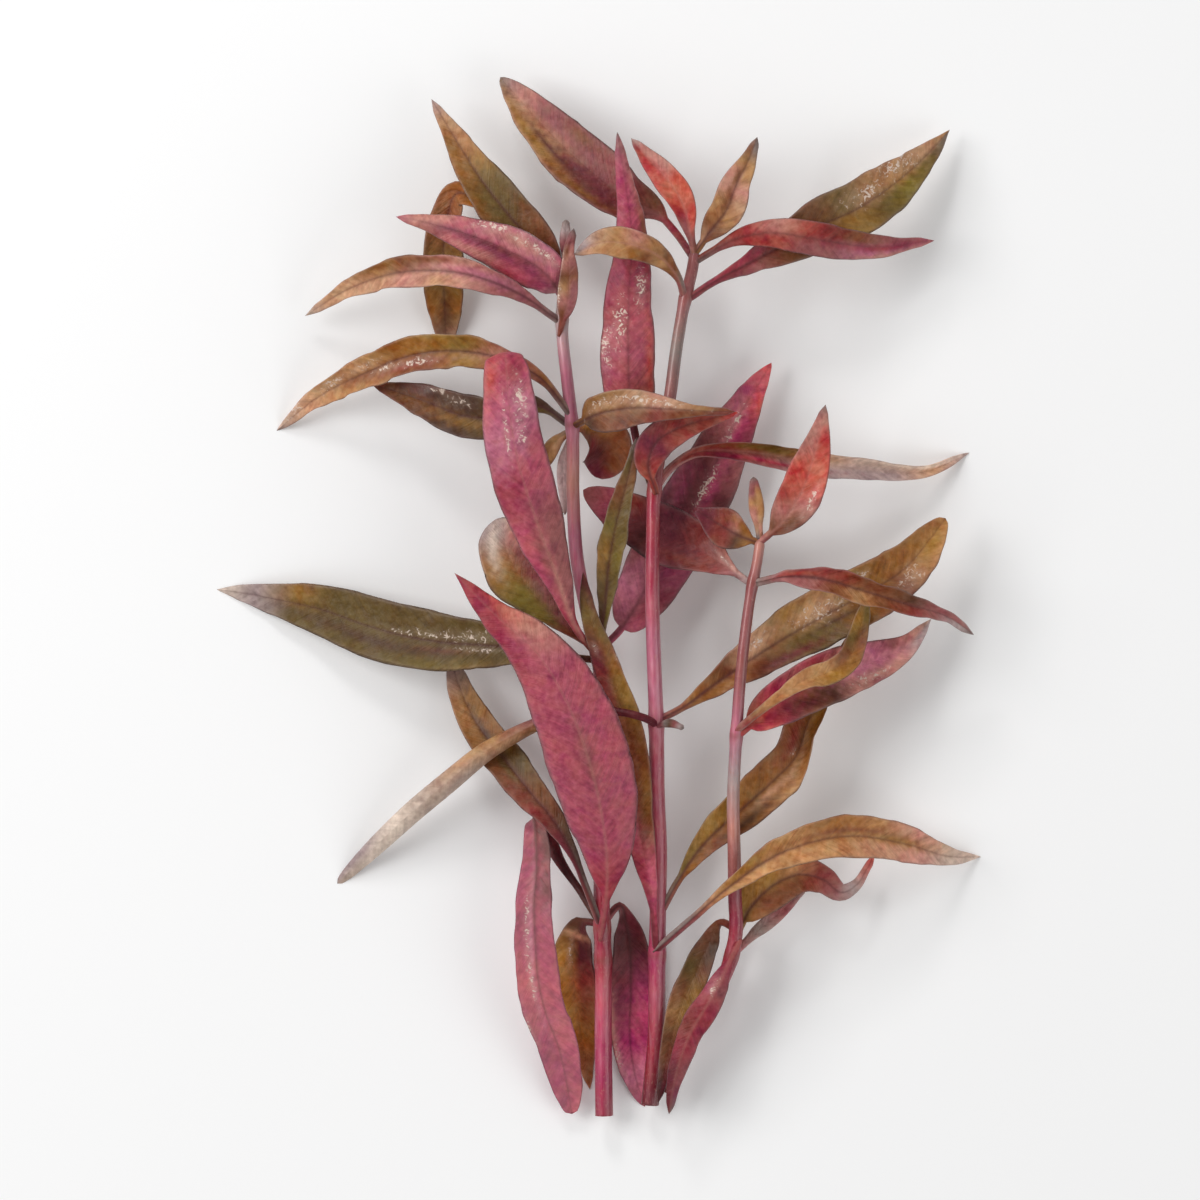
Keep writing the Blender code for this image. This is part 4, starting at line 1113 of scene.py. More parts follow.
def stem_tree():
    """A fluted rod along a line, with pith on its ends."""
    made, tree, given = group(
        "stem",
        {
            "Sides": "Int", "Flutes": "Int", "Flute depth": "Float",
            "Finish": "Material", "Pith": "Material",
        },
    )
    ring = tree.node(
        "GeometryNodeCurvePrimitiveCircle", {}, {"Resolution": given["Sides"], "Radius": 1.0}
    )
    turn = tree.node("GeometryNodeSplineParameter") * (2 * np.pi)
    fluting = 1 + given["Flute depth"] * (turn * given["Flutes"]).cosine()
    fluted = scaled(tree, tree.node("GeometryNodeInputPosition"), fluting)
    ring = tree.node("GeometryNodeSetPosition", {}, {"Geometry": ring, "Position": fluted})
    line = tree.node("GeometryNodeMeshToCurve", {}, {"Mesh": given["Geometry"]})
    rod = tree.node(
        "GeometryNodeCurveToMesh", {},
        {"Curve": line, "Profile Curve": ring, "Scale": named(tree, "girth"), "Fill Caps": True},
    )
    # How far the skin faces the key light, noted for the painted highlight on the stems
    toward_key_light = tree.node(
        "ShaderNodeVectorMath", {"operation": "DOT_PRODUCT"},
        {0: tree.node("GeometryNodeInputNormal"), 1: PAINTED_HIGHLIGHT_SIDE}, "Value",
    )
    rod = finished(tree, noted(tree, rod, "stripe", toward_key_light.share()), given["Finish"])
    corners = tree.node("GeometryNodeInputMeshFaceNeighbors", {}, {}, "Vertex Count")
    cut_end = tree.node(
        "FunctionNodeCompare", {"data_type": "INT", "operation": "GREATER_THAN"},
        {2: corners, 3: SKIN_CORNERS},
    )
    flat = tree.node(
        "GeometryNodeSetMaterial", {},
        {"Geometry": rod, "Selection": cut_end, "Material": given["Pith"]},
    )
    tree.node("NodeGroupOutput", {}, {"Geometry": flat})
    return made


tree_of_stems = stem_tree()
print(f"the stem tree has {len(tree_of_stems.nodes)} nodes")

# %% [markdown]
# ## How thick a stem is
#
# A stem is under four millimetres thick at its cut end. It tapers all the way, swells at
# every node and is rounded off at its top. The bare line hands this girth to the tree,
# and it knows how near each point is to a node, where the finish lays a darker ring.

# %% The line of a stem
STEM_RADIUS_LOW = 1.8
STEM_RADIUS_TOP = 1.15
NODE_SWELLING = 0.22
NODE_LENGTH = 1.8
NODE_RING_LENGTH = 0.7
STEM_STEP = 0.5
STEM_TOP = 1.4
STEM_TOP_LEAST = 0.3


def near_nodes(stem, points, length):
    """How near each point is to a node, as bells of this length."""
    near = np.zeros(len(points))
    for node in stem.nodes:
        near += np.exp(-(((points[:, 1] - (node - TABLE_CENTRE[1])) / length) ** 2))
    return near


def stem_radius(stem, path):
    """The radius along a stem: it tapers to the top and swells at the nodes."""
    taper = np.linspace(STEM_RADIUS_LOW, STEM_RADIUS_TOP, len(path))
    return (taper + NODE_SWELLING * near_nodes(stem, path, NODE_LENGTH)) * stem.slim


def stem_line(name, stem):
    """A bare line along a stem whose points know their radius, tint and nearness to a node."""
    path = axes[name]
    count = int(walked_along(path)[-1] / STEM_STEP)
    index = np.linspace(0, len(path) - 1, count)
    places = np.arange(len(path))
    points = read_at(index, places, path)
    radius = np.interp(index, places, stem_radius(stem, path))
    rest = walked_along(points)[-1] - walked_along(points)
    rounding = np.sqrt(1.0 - (1.0 - rest / STEM_TOP).clip(0.0, 1.0) ** 2)
    values = {
        "girth": radius * rounding.clip(STEM_TOP_LEAST, 1.0) * MM,
        "ring": near_nodes(stem, points, NODE_RING_LENGTH),
        "tint": opaque(tints_along(stem.tints, np.linspace(0.0, 1.0, count))),
    }
    edges = [(i, i + 1) for i in range(count - 1)]
    return bare_mesh(name + "_line", points, edges, [], values)


stem_lines = {name: stem_line(name, stem) for name, stem in STEMS.items()}
for name, line in stem_lines.items():
    print(f"{name}: a line of {len(line.vertices)} points")

# %% [markdown]
# ## Helpers for materials
#
# Stems and leaves share a few ways to work with colour: a tint laid over another, a tint
# that a noise turns and lightens, and patterns that are read on the piece itself, so that
# they stay on it wherever it goes. On the piece's own coordinates, the scale of a noise
# is how many features it has to the metre.

# %% Colours, noises and materials
def principled(name, build):
    """A material whose sockets come from build, which gets the shader's tree."""
    made = bpy.data.materials.new(name)
    made.use_nodes = True
    shader = made.node_tree.nodes["Principled BSDF"]
    for socket, value in build(Tree(made.node_tree)).items():
        if isinstance(value, Socket):
            made.node_tree.links.new(value.output, shader.inputs[socket])
        else:
            shader.inputs[socket].default_value = value
    return made


def paint(name):
    """A tint as the four numbers that a colour socket takes."""
    return (*linear(TINTS[name]), 1.0)


def blended(tree, factor, first, second):
    """One colour laid over another."""
    return tree.node(
        "ShaderNodeMix", {"data_type": "RGBA", "clamp_factor": True},
        {0: factor, 6: first, 7: second}, 2,
    )


def varied(tree, colour, hue, saturation, value):
    """A colour with its hue turned and its saturation and brightness scaled."""
    sockets = {"Hue": 0.5 + hue, "Saturation": saturation, "Value": value, "Color": colour}
    return tree.node("ShaderNodeHueSaturation", {}, sockets)


def object_place(tree, stretch=(1.0, 1.0, 1.0)):
    """Places on the piece itself, squeezed along an axis to stretch a pattern there."""
    place = tree.node("ShaderNodeTexCoord", {}, {}, "Object")
    return tree.node("ShaderNodeMapping", {}, {"Vector": place, "Scale": stretch})


def noise(tree, place, scale, detail=2.0, distortion=0.0):
    """Soft noise between 0 and 1, with this many features to a unit of the place."""
    return tree.node(
        "ShaderNodeTexNoise", {},
        {"Vector": place, "Scale": scale, "Detail": detail, "Distortion": distortion},
    )


def bump(tree, strength, distance, height):
    return tree.node(
        "ShaderNodeBump", {}, {"Strength": strength, "Distance": distance, "Height": height},
        "Normal",
    )


def ramp(tree, value, *stops):
    """A colour ramp through (position, tint name) stops."""
    colours = [(position, paint(name)) for position, name in stops]
    return tree.node("ShaderNodeValToRGB", {"stops": colours}, {"Fac": value})


def carried(tree, name, output="Fac"):
    """The value that the piece's points carry under a name."""
    return tree.node("ShaderNodeAttribute", {"attribute_name": name}, {}, output)


print("ready to mix", len(TINTS), "tints")

# %% [markdown]
# ## The finish of the stems
#
# The stems are crimson to pink low down and fade to a greyish pink towards the tips,
# with a darker ring at each node. Along the top runs a painted highlight, a light stripe
# on the side that faces the key light. They are juicy, so they shine, and their skin has
# fine streaks along it. The colour comes with the mesh, and the streaks are a noise that
# a Mapping node stretches along the bunch.

# %% Stem finish
STEM_STREAKS, STEM_CLOUDS, FRECKLES, PITH_CELLS = 1500.0, 180.0, 2600.0, 1800.0
STREAK_STRETCH = (1.0, 0.12, 1.0)
FRECKLE_STRETCH = (1.0, 0.5, 1.0)
FRECKLE_EDGE, FRECKLE_STEEPNESS = 0.58, 3.0
PAINTED_HIGHLIGHT_SHARPNESS = 8.0
NODE_RING_STRENGTH = 0.5
STEM_RELIEF = 0.35
RELIEF_DEPTH = 0.3 * MM


def stem_shader(tree):
    streaks = noise(tree, object_place(tree, STREAK_STRETCH), STEM_STREAKS, 4.0)
    clouds = noise(tree, object_place(tree), STEM_CLOUDS, 3.0)
    freckles = noise(tree, object_place(tree, FRECKLE_STRETCH), FRECKLES, 2.0)
    # Painted highlight: the skin is painted lighter where it faces the key light
    stripe = carried(tree, "stripe") ** PAINTED_HIGHLIGHT_SHARPNESS
    base = varied(
        tree, carried(tree, "tint", "Color"),
        hue=0.03 * (clouds - 0.5),
        saturation=1.3 - 0.5 * streaks,
        value=0.35 + 0.6 * streaks + 0.4 * clouds + 0.55 * stripe,
    )
    base = blended(tree, freckles.above(FRECKLE_EDGE, FRECKLE_STEEPNESS), base, paint("blush"))
    base = blended(tree, carried(tree, "ring") * NODE_RING_STRENGTH, base, paint("brick"))
    return {
        "Base Color": base,
        "Roughness": 0.3 + 0.2 * streaks,
        "Normal": bump(tree, STEM_RELIEF, RELIEF_DEPTH, streaks + 0.4 * freckles),
        "Coat Weight": 0.35,
        "Coat Roughness": 0.12,
        "Subsurface Weight": 0.08,
        "Subsurface Radius": (0.002, 0.0008, 0.0006),
        "Subsurface Scale": 1.0,
    }


def pith_shader(tree):
    cells = noise(tree, object_place(tree), PITH_CELLS, 4.0)
    return {
        "Base Color": ramp(tree, cells, (0.3, "rose"), (0.5, "pale"), (0.75, "sand")),
        "Roughness": 0.6,
    }


stem_finish = principled("stem_skin", stem_shader)
pith_finish = principled("stem_pith", pith_shader)
print(f"the stems' skin takes {len(stem_finish.node_tree.nodes)} nodes")

# %% Make the stems
STEM_SIZES = {"Sides": 28, "Flutes": 7, "Flute depth": 0.022}

stems = {}
for name, line in stem_lines.items():
    finish = {"Finish": stem_finish, "Pith": pith_finish}
    stems[name] = grown("fine_" + name, line, tree_of_stems, STEM_SIZES | finish)
    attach(stems[name], "root")
    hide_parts(name)
    print(f"{name}: {len(stems[name].data.polygons)} faces")

# %% [markdown]
# ## The outline of a leaf
#
# A leaf of this plant is a lance: a narrow stalk, a blade that widens evenly to its
# widest place, and a long tapering tip. One sine wave from the stalk to the tip, bent so
# that its top lies at the widest place, gives this outline. Its powers towards the base
# and the tip say how sharp the two ends are. The stalk fades out where the blade grows.

# %% Half widths
PETIOLE_HALF_WIDTH = 0.75
PETIOLE_SHARE = 0.6
STALK_FADE = 0.2
STALK_END = 0.06


def blade_profile(leaf, along):
    """Half the width of the blade, from the petiole to the tip, as a fraction of its widest."""
    blade = np.clip((along - leaf.petiole) / (1.0 - leaf.petiole), 0.0, 1.0)
    widest = (leaf.widest - leaf.petiole) / (1.0 - leaf.petiole)
    wave = np.sin(np.pi * blade ** (np.log(0.5) / np.log(widest)))
    sharpness = np.where(blade < widest, leaf.base, leaf.tip)
    return np.clip(wave, 0.0, 1.0) ** sharpness


def half_widths(leaf, along):
    """Half the width of the leaf at each place along it, petiole and blade together."""
    half = leaf.width / 2
    blade = half * blade_profile(leaf, along)
    stalk = min(PETIOLE_HALF_WIDTH, PETIOLE_SHARE * half)
    stalk = stalk * np.clip((1.0 - along) / STALK_END, 0.0, 1.0)
    return np.hypot(blade, stalk * np.clip(1.0 + STALK_FADE - blade / half, 0.0, 1.0))


broadest = max(LEAVES, key=lambda name: LEAVES[name].width)
print(f"the broadest leaf is {broadest}, {LEAVES[broadest].width} mm")

# %% [markdown]
# ## Where a stalk meets its stem
#
# A leaf grows out of its stem without a seam, and its stalk is round there. The sheet of
# a leaf therefore starts inside the stem. From the place where the stalk enters, a short
# tapering root follows the stalk's own direction until it is deep enough, or as deep as
# it gets in a thin stem. The stem's skin then hides its end.

# %% Roots
SUNK_IN_STEM = 0.5
ROOT_REACH = 3.0
ROOT_STEP = 0.1
ROOT_DEPTH = 1.1
ROOT_TAPER = 0.5


def depth_in_stem(leaf, path):
    """How deep each point of a path lies in the leaf's stem."""
    axis = axes[leaf.stem]
    radius = stem_radius(STEMS[leaf.stem], axis)
    apart = np.linalg.norm(path[:, None, :] - axis[None, :, :], axis=2)
    return (radius[None, :] - apart).max(axis=1)


def joined(leaf, path):
    """The path of a leaf from well inside its stem, and how long that root is."""
    path = path[int(np.argmax(depth_in_stem(leaf, path) < SUNK_IN_STEM)):]
    back = np.arange(0.0, ROOT_REACH, ROOT_STEP)[:, None]
    root = path[0] - back * unit(path[1] - path[0])
    depth = depth_in_stem(leaf, root)
    end = int(np.argmax(depth > ROOT_DEPTH)) if depth.max() > ROOT_DEPTH else int(depth.argmax())
    return np.concatenate([root[end:0:-1], path]), end * ROOT_STEP


midribs = {name: joined(leaf, smooth_path(placed(leaf.path))) for name, leaf in LEAVES.items()}
print(f"the longest root is {max(root for _, root in midribs.values()):.1f} mm")

# %% [markdown]
# ## The marks of a leaf
#
# No two leaves are coloured alike. Each has patches of its own: a dark stretch, a golden
# margin, a wet place that shines. They are laid into the tints of the sheet as soft
# ovals, and two waves that cross the leaf make their edges ragged. A gloss mark paints
# only a faint pale sheen into the tint, a painted highlight. It tells the finish where
# the leaf is wet, and there the finish paints glints.

# %% Marks
MARK_STRENGTH = 0.9
PAINTED_SHEEN_TINT = 0.12
RAGGED_WAVES = (           # height, turns along and across, share of the seed
    (0.3, 1.9, 2.6, 1.0),
    (0.2, 3.3, -1.7, 0.0),
)


def marked(leaf, grid, length, seed):
    """Lays the leaf's marks into its tints, a gloss mark as a faint painted highlight, and returns how
    wet each point is.
    """
    along, across = grid["along"], grid["across"]
    ragged = np.zeros_like(along)
    for height, ahead, aside, shift in RAGGED_WAVES:
        ragged += height * np.sin(ahead * along + aside * across + shift * seed)
    shine = np.zeros_like(along)
    for share, side, long, wide, name in leaf.marks:
        far = ((along - share * length) / long) ** 2
        far = far + ((across - side * grid["half"]) / wide) ** 2
        weight = MARK_STRENGTH * np.exp(-far * (1.0 + ragged))
        tint = name
        if name == "gloss":
            shine = np.maximum(shine, weight)
            # A gloss mark paints a faint pale sheen into the tint: a painted highlight
            weight = weight * PAINTED_SHEEN_TINT
            tint = "bone"
        weight = weight[..., None]
        grid["tint"] = (1 - weight) * grid["tint"] + weight * linear(TINTS[tint])
    return shine


print(f"{sum(len(leaf.marks) for leaf in LEAVES.values())} marks")

# %% [markdown]
# ## The sheet of a leaf
#
# The sheet is a grid of points: rows of stations along the midrib, columns from the left
# margin to the right one, closer together at the rib. Each half of the blade stands at an
# angle and is rounded, so it slopes more towards its margin. Each point knows how far it
# is along the leaf and across it, which way is up, and its tint. The tints of the two
# halves flow into each other at the rib.

# %% Grid of a leaf
STATION_STEP = 0.62
FEWEST_STATIONS = 30
COLUMNS = 25
CROWDING = 1.35
ROUNDING = 0.7
RIB_ROUNDING = 4.0
RIB_MIXING = 3.0


def angle_along(given, along):
    """The angle of a half blade at each place along it, in radians."""
    return np.radians(hermite(given, np.linspace(0.0, 1.0, len(given)), along))[:, None]


def leaf_grid(leaf, path, root, seed):
    """What each point of a leaf's sheet knows, in stations and columns, and the length."""
    path = smooth_path(path)
    sides, ups = frames(path)
    length = walked_along(path)[-1] - root
    stations = max(FEWEST_STATIONS, int((length + root) / STATION_STEP))
    index, places = np.linspace(0.0, len(path) - 1, stations), np.arange(len(path))
    middle, side, up = (read_at(index, places, rows)[:, None] for rows in (path, sides, ups))

    walked = np.linspace(-root, length, stations)
    along = (walked / length).clip(0.0, 1.0)
    taper = 1.0 - ROOT_TAPER * (-walked / ROOT_REACH).clip(0.0, 1.0)
    half = (half_widths(leaf, along) * taper)[:, None]

    spread = np.linspace(-1.0, 1.0, COLUMNS)
    spread = np.sign(spread) * np.abs(spread) ** CROWDING
    reach, turn = np.abs(spread), np.where(spread > 0, 1.0, -1.0)
    fold = np.where(spread > 0, angle_along(leaf.right, along), angle_along(leaf.left, along))
    angle = (fold * (1.0 - ROUNDING + ROUNDING * reach))[..., None]
    slope = (fold * (1.0 - ROUNDING + 2.0 * ROUNDING * reach))[..., None]
    turn = turn[:, None]
    outward = -turn * np.cos(angle) * side + np.sin(angle) * up
    tilted = turn * np.sin(slope) * side + np.cos(slope) * up
    off_rib = np.minimum(1.0, reach * RIB_ROUNDING)[:, None]
    to_right = (0.5 + 0.5 * np.clip(spread * RIB_MIXING, -1.0, 1.0))[:, None]
    left_tint = tints_along(leaf.tints, along)[:, None]
    right_tint = tints_along(leaf.right_tints or leaf.tints, along)[:, None]

    everywhere = np.ones((stations, COLUMNS))
    grid = {
        "place": middle + (reach * half)[..., None] * outward,
        "up": off_rib * tilted + (1 - off_rib) * up,
        "tint": (1 - to_right) * left_tint + to_right * right_tint,
        "across": spread * half,
        "reach": reach * everywhere,
        "along": walked[:, None] * everywhere,
        "half": half * everywhere,
    }
    grid["shine"] = marked(leaf, grid, length, seed)
    # Painted light: light above 1 lifts the tints of a leaf that lies in shade
    grid["tint"] = grid["tint"] * leaf.light
    return grid, length


print(f"{COLUMNS} columns across each leaf")

# %% [markdown]
# ## Two skins
#
# A real blade is a third of a millimetre thick, with a stout midrib below and a round
# stalk at its base. The mesh therefore has an upper and a lower skin over the same grid.
# They share the margins and the tip, and one face closes the foot of the stalk. A tree
# pushes the skins apart later, and each point says which one it is in.

# %% Skins of a leaf
def skins(stations):
    """The point numbers of both skins, row by row, and that of the tip.

    The points of the upper skin come first, then those inside the lower skin, which
    borrows its margins from the upper one, then the tip.
    """
    upper = np.arange((stations - 1) * COLUMNS).reshape(stations - 1, COLUMNS)
    inner = upper.size + np.arange((stations - 1) * (COLUMNS - 2))
    inner = inner.reshape(stations - 1, COLUMNS - 2)
    lower = np.concatenate([upper[:, :1], inner, upper[:, -1:]], axis=1)
    return upper, lower, upper.size + inner.size


def skin_faces(upper, lower, tip):
    """The faces of both skins, of the tip and of the foot."""
    last = COLUMNS - 1
    faces = []
    for a, b in zip(upper, upper[1:]):
        faces += [(a[c], a[c + 1], b[c + 1], b[c]) for c in range(last)]
    for a, b in zip(lower, lower[1:]):
        faces += [(a[c + 1], a[c], b[c], b[c + 1]) for c in range(last)]
    faces += [(upper[-1, c], upper[-1, c + 1], tip) for c in range(last)]
    faces += [(lower[-1, c + 1], lower[-1, c], tip) for c in range(last)]
    faces.append((*lower[0], *upper[0, last - 1:0:-1]))
    return faces


def point_values(values):
    """Values of a grid in the order of the mesh's points."""
    flat = values.reshape(*values.shape[:2], -1)
    width = flat.shape[2]
    upper, inner = flat[:-1].reshape(-1, width), flat[:-1, 1:-1].reshape(-1, width)
    return np.concatenate([upper, inner, flat[-1, COLUMNS // 2][None]])


def leaf_sheet(name, leaf, seed):
    """The bare mesh of a leaf, with what its points know."""
    grid, length = leaf_grid(leaf, *midribs[name], seed)
    upper, lower, tip = skins(len(grid["along"]))
    values = {title: point_values(value) for title, value in grid.items()}
    points = values.pop("place")
    values["tint"] = opaque(values["tint"])
    skin = np.where(np.arange(tip + 1) < upper.size, 1.0, -1.0)
    skin[upper[:, 0]] = skin[upper[:, -1]] = skin[tip] = 0.0
    values["skin"] = skin
    values["share"] = (values["along"] / length).clip(0.0, 1.0)
    values["rib"] = np.full(tip + 1, leaf.rib)
    values["seed"] = np.full(tip + 1, seed)
    return bare_mesh(name + "_sheet", points, [], skin_faces(upper, lower, tip), values)


print(f"the smallest leaf has {skins(FEWEST_STATIONS)[2] + 1} points")

# %% [markdown]
# ## Veins and cushions
#
# Side veins leave the midrib in a regular row and run slantwise to the margin, and the
# tissue between them stands up in soft cushions. The rule works in millimetres along and
# across the blade. A row number grows along the leaf and falls towards the margins, its
# cosine makes the veins, and a slow noise lets them wander. The two halves are out of
# step, as in most plants, and narrow places have less relief.

# %% Relief of a blade
VEIN_SHARPNESS = 5.0
VEIN_WANDER = 2.6
HALF_STEP = 0.45
FULL_HALF_WIDTH = 2.5
BESIDE_RIB = 0.5
RIB_GROOVE_WIDTH = 0.45
RIB_GROOVE_DEPTH = 1.4
DRIFT_SIZE = {"Scale": 160.0, "Detail": 1.0}
LUMP_SIZE = {"Scale": 420.0, "Detail": 2.0}
LUMP_SEED = 7.3


def seeded_noise(tree, seed, size):
    return tree.node("ShaderNodeTexNoise", {"noise_dimensions": "4D"}, {"W": seed} | size)


def relief_of_blade(tree, given, known, left, drift):
    """How far the skins rise from the sheet by veins and cushions, and where veins show."""
    across, reach = known["across"], known["reach"]
    lumps = seeded_noise(tree, given["Seed"] + LUMP_SEED, LUMP_SIZE)
    row = (known["along"] - given["Vein slant"] * abs(across)) / given["Vein spacing"]
    row = row + HALF_STEP * left + VEIN_WANDER * drift
    vein = (0.5 + 0.5 * (row * (2 * np.pi)).cosine()) ** VEIN_SHARPNESS
    bed = known["wide"] * (1 - reach ** 3.0)
    bulge = given["Cushions"] * (lumps - 0.5) - given["Vein depth"] * vein
    relief = bed * (1 - across.bell(BESIDE_RIB)) * bulge
    groove = given["Vein depth"] * RIB_GROOVE_DEPTH * known["wide"]
    return relief - groove * across.bell(RIB_GROOVE_WIDTH), vein * bed


print(f"{VEIN_WANDER} rows of wander for the veins")

# %% [markdown]
# ## Waves, thickness and the ground
#
# The blade is thin, its stalk is round and its rib stands out below. Its margins wave a
# little, because the soft tissue grows faster there than the rib. The tree adds up these
# heights and moves both skins along the sheet's own up. A leaf that rests on the ground
# is lifted where its lower skin would go below it.

# %% The blade tree
WAVE_DRIFT = 9.0
WAVE_STEP = 2.4
STALK_HALF_WIDTH = 0.75
STALK_RANGE = 1.6
TIP_SHARE = 0.08
RIB_WIDTH = 0.42
RIB_FADE = 0.7
BLADE_INPUTS = (
    "Blade thickness", "Stalk thickness", "Rib height", "Vein spacing", "Vein slant",
    "Vein depth", "Cushions", "Wave height", "Wave length", "Seed",
)


def blade_tree():
    """Two skins pushed apart, with veins, cushions, waves and a rib."""
    inputs = dict.fromkeys(BLADE_INPUTS, "Float") | {"Finish": "Material"}
    made, tree, given = group("blade", inputs)
    known = {title: named(tree, title) for title in ("across", "along", "reach", "half")}
    across, reach, half = known["across"], known["reach"], known["half"]
    wide = (half / FULL_HALF_WIDTH).share()
    known["wide"] = wide
    share, skin = named(tree, "share"), named(tree, "skin")
    up = named(tree, "up", "FLOAT_VECTOR")
    drift = seeded_noise(tree, given["Seed"], DRIFT_SIZE)
    left = tree.node(
        "FunctionNodeCompare", {"data_type": "FLOAT", "operation": "LESS_THAN"}, {0: across, 1: 0.0}
    )
    relief, vein = relief_of_blade(tree, given, known, left, drift)

    wave_row = known["along"] / given["Wave length"] * (2 * np.pi) + WAVE_DRIFT * drift
    wave = given["Wave height"] * wide * reach ** 2.0 * (wave_row + WAVE_STEP * left).cosine()
    stalk = (1 - (half - STALK_HALF_WIDTH) / STALK_RANGE).share()
    before_tip = ((1 - share) / TIP_SHARE).share() ** 0.5
    thick = given["Blade thickness"] + (given["Stalk thickness"] - given["Blade thickness"]) * stalk
    body = thick / 2 * (1 - reach * reach).most(0.0) ** 0.5 * before_tip
    rib = given["Rib height"] * across.bell(RIB_WIDTH) * (1 - share) ** RIB_FADE
    rib = rib * (1 - stalk) * wide
    surface = relief * before_tip + wave
    upward = surface + skin * body - (-skin).share() * rib

    place = tree.node("GeometryNodeInputPosition")
    z = tree.node("ShaderNodeSeparateXYZ", {}, {"Vector": place}, "Z")
    up_z = tree.node("ShaderNodeSeparateXYZ", {}, {"Vector": up}, "Z")
    lift = (-(z / MM + (surface - body - rib) * up_z)).most(0.0)
    raised = tree.node("ShaderNodeCombineXYZ", {}, {"Z": lift * MM})
    shift = tree.node(
        "ShaderNodeVectorMath", {"operation": "ADD"}, {0: scaled(tree, up, upward * MM), 1: raised}
    )
    shaped = tree.node(
        "GeometryNodeSetPosition", {}, {"Geometry": given["Geometry"], "Offset": shift}
    )
    shaped = finished(tree, noted(tree, shaped, "vein", vein), given["Finish"])
    tree.node("NodeGroupOutput", {}, {"Geometry": shaped})
    return made


tree_of_blades = blade_tree()
print(f"the blade tree has {len(tree_of_blades.nodes)} nodes")

# %% [markdown]
# ## The colour of the leaves
#
# Each point of a leaf carries its tint, and the finish adds what all leaves share. Soft
# streaks run the way the side veins run: the noise is read in coordinates of the leaf
# itself, which run with the veins and are drawn out along them. Clouds and blotches turn
# the hue a little and mottle the tint. The midrib shows lighter or darker than the blade,
# and beside a dark one lies a band of painted shade, along the groove that it sits in.
# The margin is greyer and the underside paler.

# %% Colour of a blade
VEIN_SLANT = 1.15
STREAK_FINENESS, THREAD_FINENESS = 0.7, 3.2
ALONG_VEINS = 0.2
HALVES_APART = 5.0
RIB_STEEPNESS = 20.0
CLOUDS, BLOTCHES, CELLS = 110.0, 330.0, 900.0
BLOTCH_EDGE, BLOTCH_STEEPNESS = 0.52, 4.0
LINE_WIDTH, GROOVE_SHADE_WIDTH = 0.2, 0.6
LIGHT_LINE, DARK_LINE, PAINTED_GROOVE_SHADE = 0.36, 0.6, 0.4
LINE_FADE = 0.6
MARGIN_SHARPNESS, MARGIN_STRENGTH = 16.0, 0.45
UNDERSIDE_STRENGTH = 0.2


def vein_place(tree, across, along, fine):
    """Coordinates that run with the side veins, other ones on each half and each leaf."""
    slope = along - VEIN_SLANT * abs(across)
    other = carried(tree, "seed") + HALVES_APART * (across * RIB_STEEPNESS).share()
    sockets = {"X": slope * fine, "Y": abs(across) * ALONG_VEINS, "Z": other}
    return tree.node("ShaderNodeCombineXYZ", {}, sockets)


def mottled(tree, place, grain, cells, mottle, patches):
    """The tint of a leaf under its grain, with clouds, and blotches of the mottle tint."""
    clouds = noise(tree, place, CLOUDS, 2.0)
    blotches = noise(tree, place, BLOTCHES, 3.0, 0.6)
    base = varied(
        tree, carried(tree, "tint", "Color"),
        hue=0.025 * (clouds - 0.5) + 0.05 * (blotches - 0.5),
        saturation=1.3 - 0.3 * blotches - 0.2 * cells,
        value=grain + 0.4 * clouds + 0.7 * blotches - 0.47,
    )
    blotched = blotches.above(BLOTCH_EDGE, BLOTCH_STEEPNESS) * patches
    return blended(tree, blotched, base, paint(mottle))


def ribbed(tree, base, across, veins):
    """The colour with its veins, midrib, painted shade beside a dark midrib, margins and underside."""
    share, rib = carried(tree, "share"), carried(tree, "rib")
    line = across.bell(LINE_WIDTH + LINE_WIDTH * (1 - share)) * (1 - LINE_FADE * share)
    groove_shade = across.bell(GROOVE_SHADE_WIDTH) * (1 - share)
    base = blended(tree, carried(tree, "vein") * veins, base, paint("maroon"))
    # Painted shade: a dark band along the groove beside a dark midrib
    base = blended(tree, groove_shade * (rib * -PAINTED_GROOVE_SHADE).share(), base, paint("maroon"))
    base = blended(tree, line * (rib * LIGHT_LINE).share(), base, paint("blush"))
    base = blended(tree, line * (rib * -DARK_LINE).share(), base, paint("maroon"))
    margin = carried(tree, "reach") ** MARGIN_SHARPNESS * MARGIN_STRENGTH
    base = blended(tree, margin, base, paint("mist"))
    below = (-carried(tree, "skin")).share() * UNDERSIDE_STRENGTH
    return blended(tree, below, base, paint("pale"))


print(f"veins run forward {VEIN_SLANT} mm for each millimetre across")

# %% [markdown]
# ## Wet leaves
#
# Leaves out of the water keep a film on them that is thicker in places. There the coat is
# stronger and the skin smoother. Where a mark says gloss, the finish paints highlights
# that break up into small glints: a fine noise decides where they sit, so they never run
# together into a blob. These painted highlights are pale flecks in the colour, so the leaf
# looks wet from every side. The slots of the record differ in how strong the mottling and
# the gloss are.

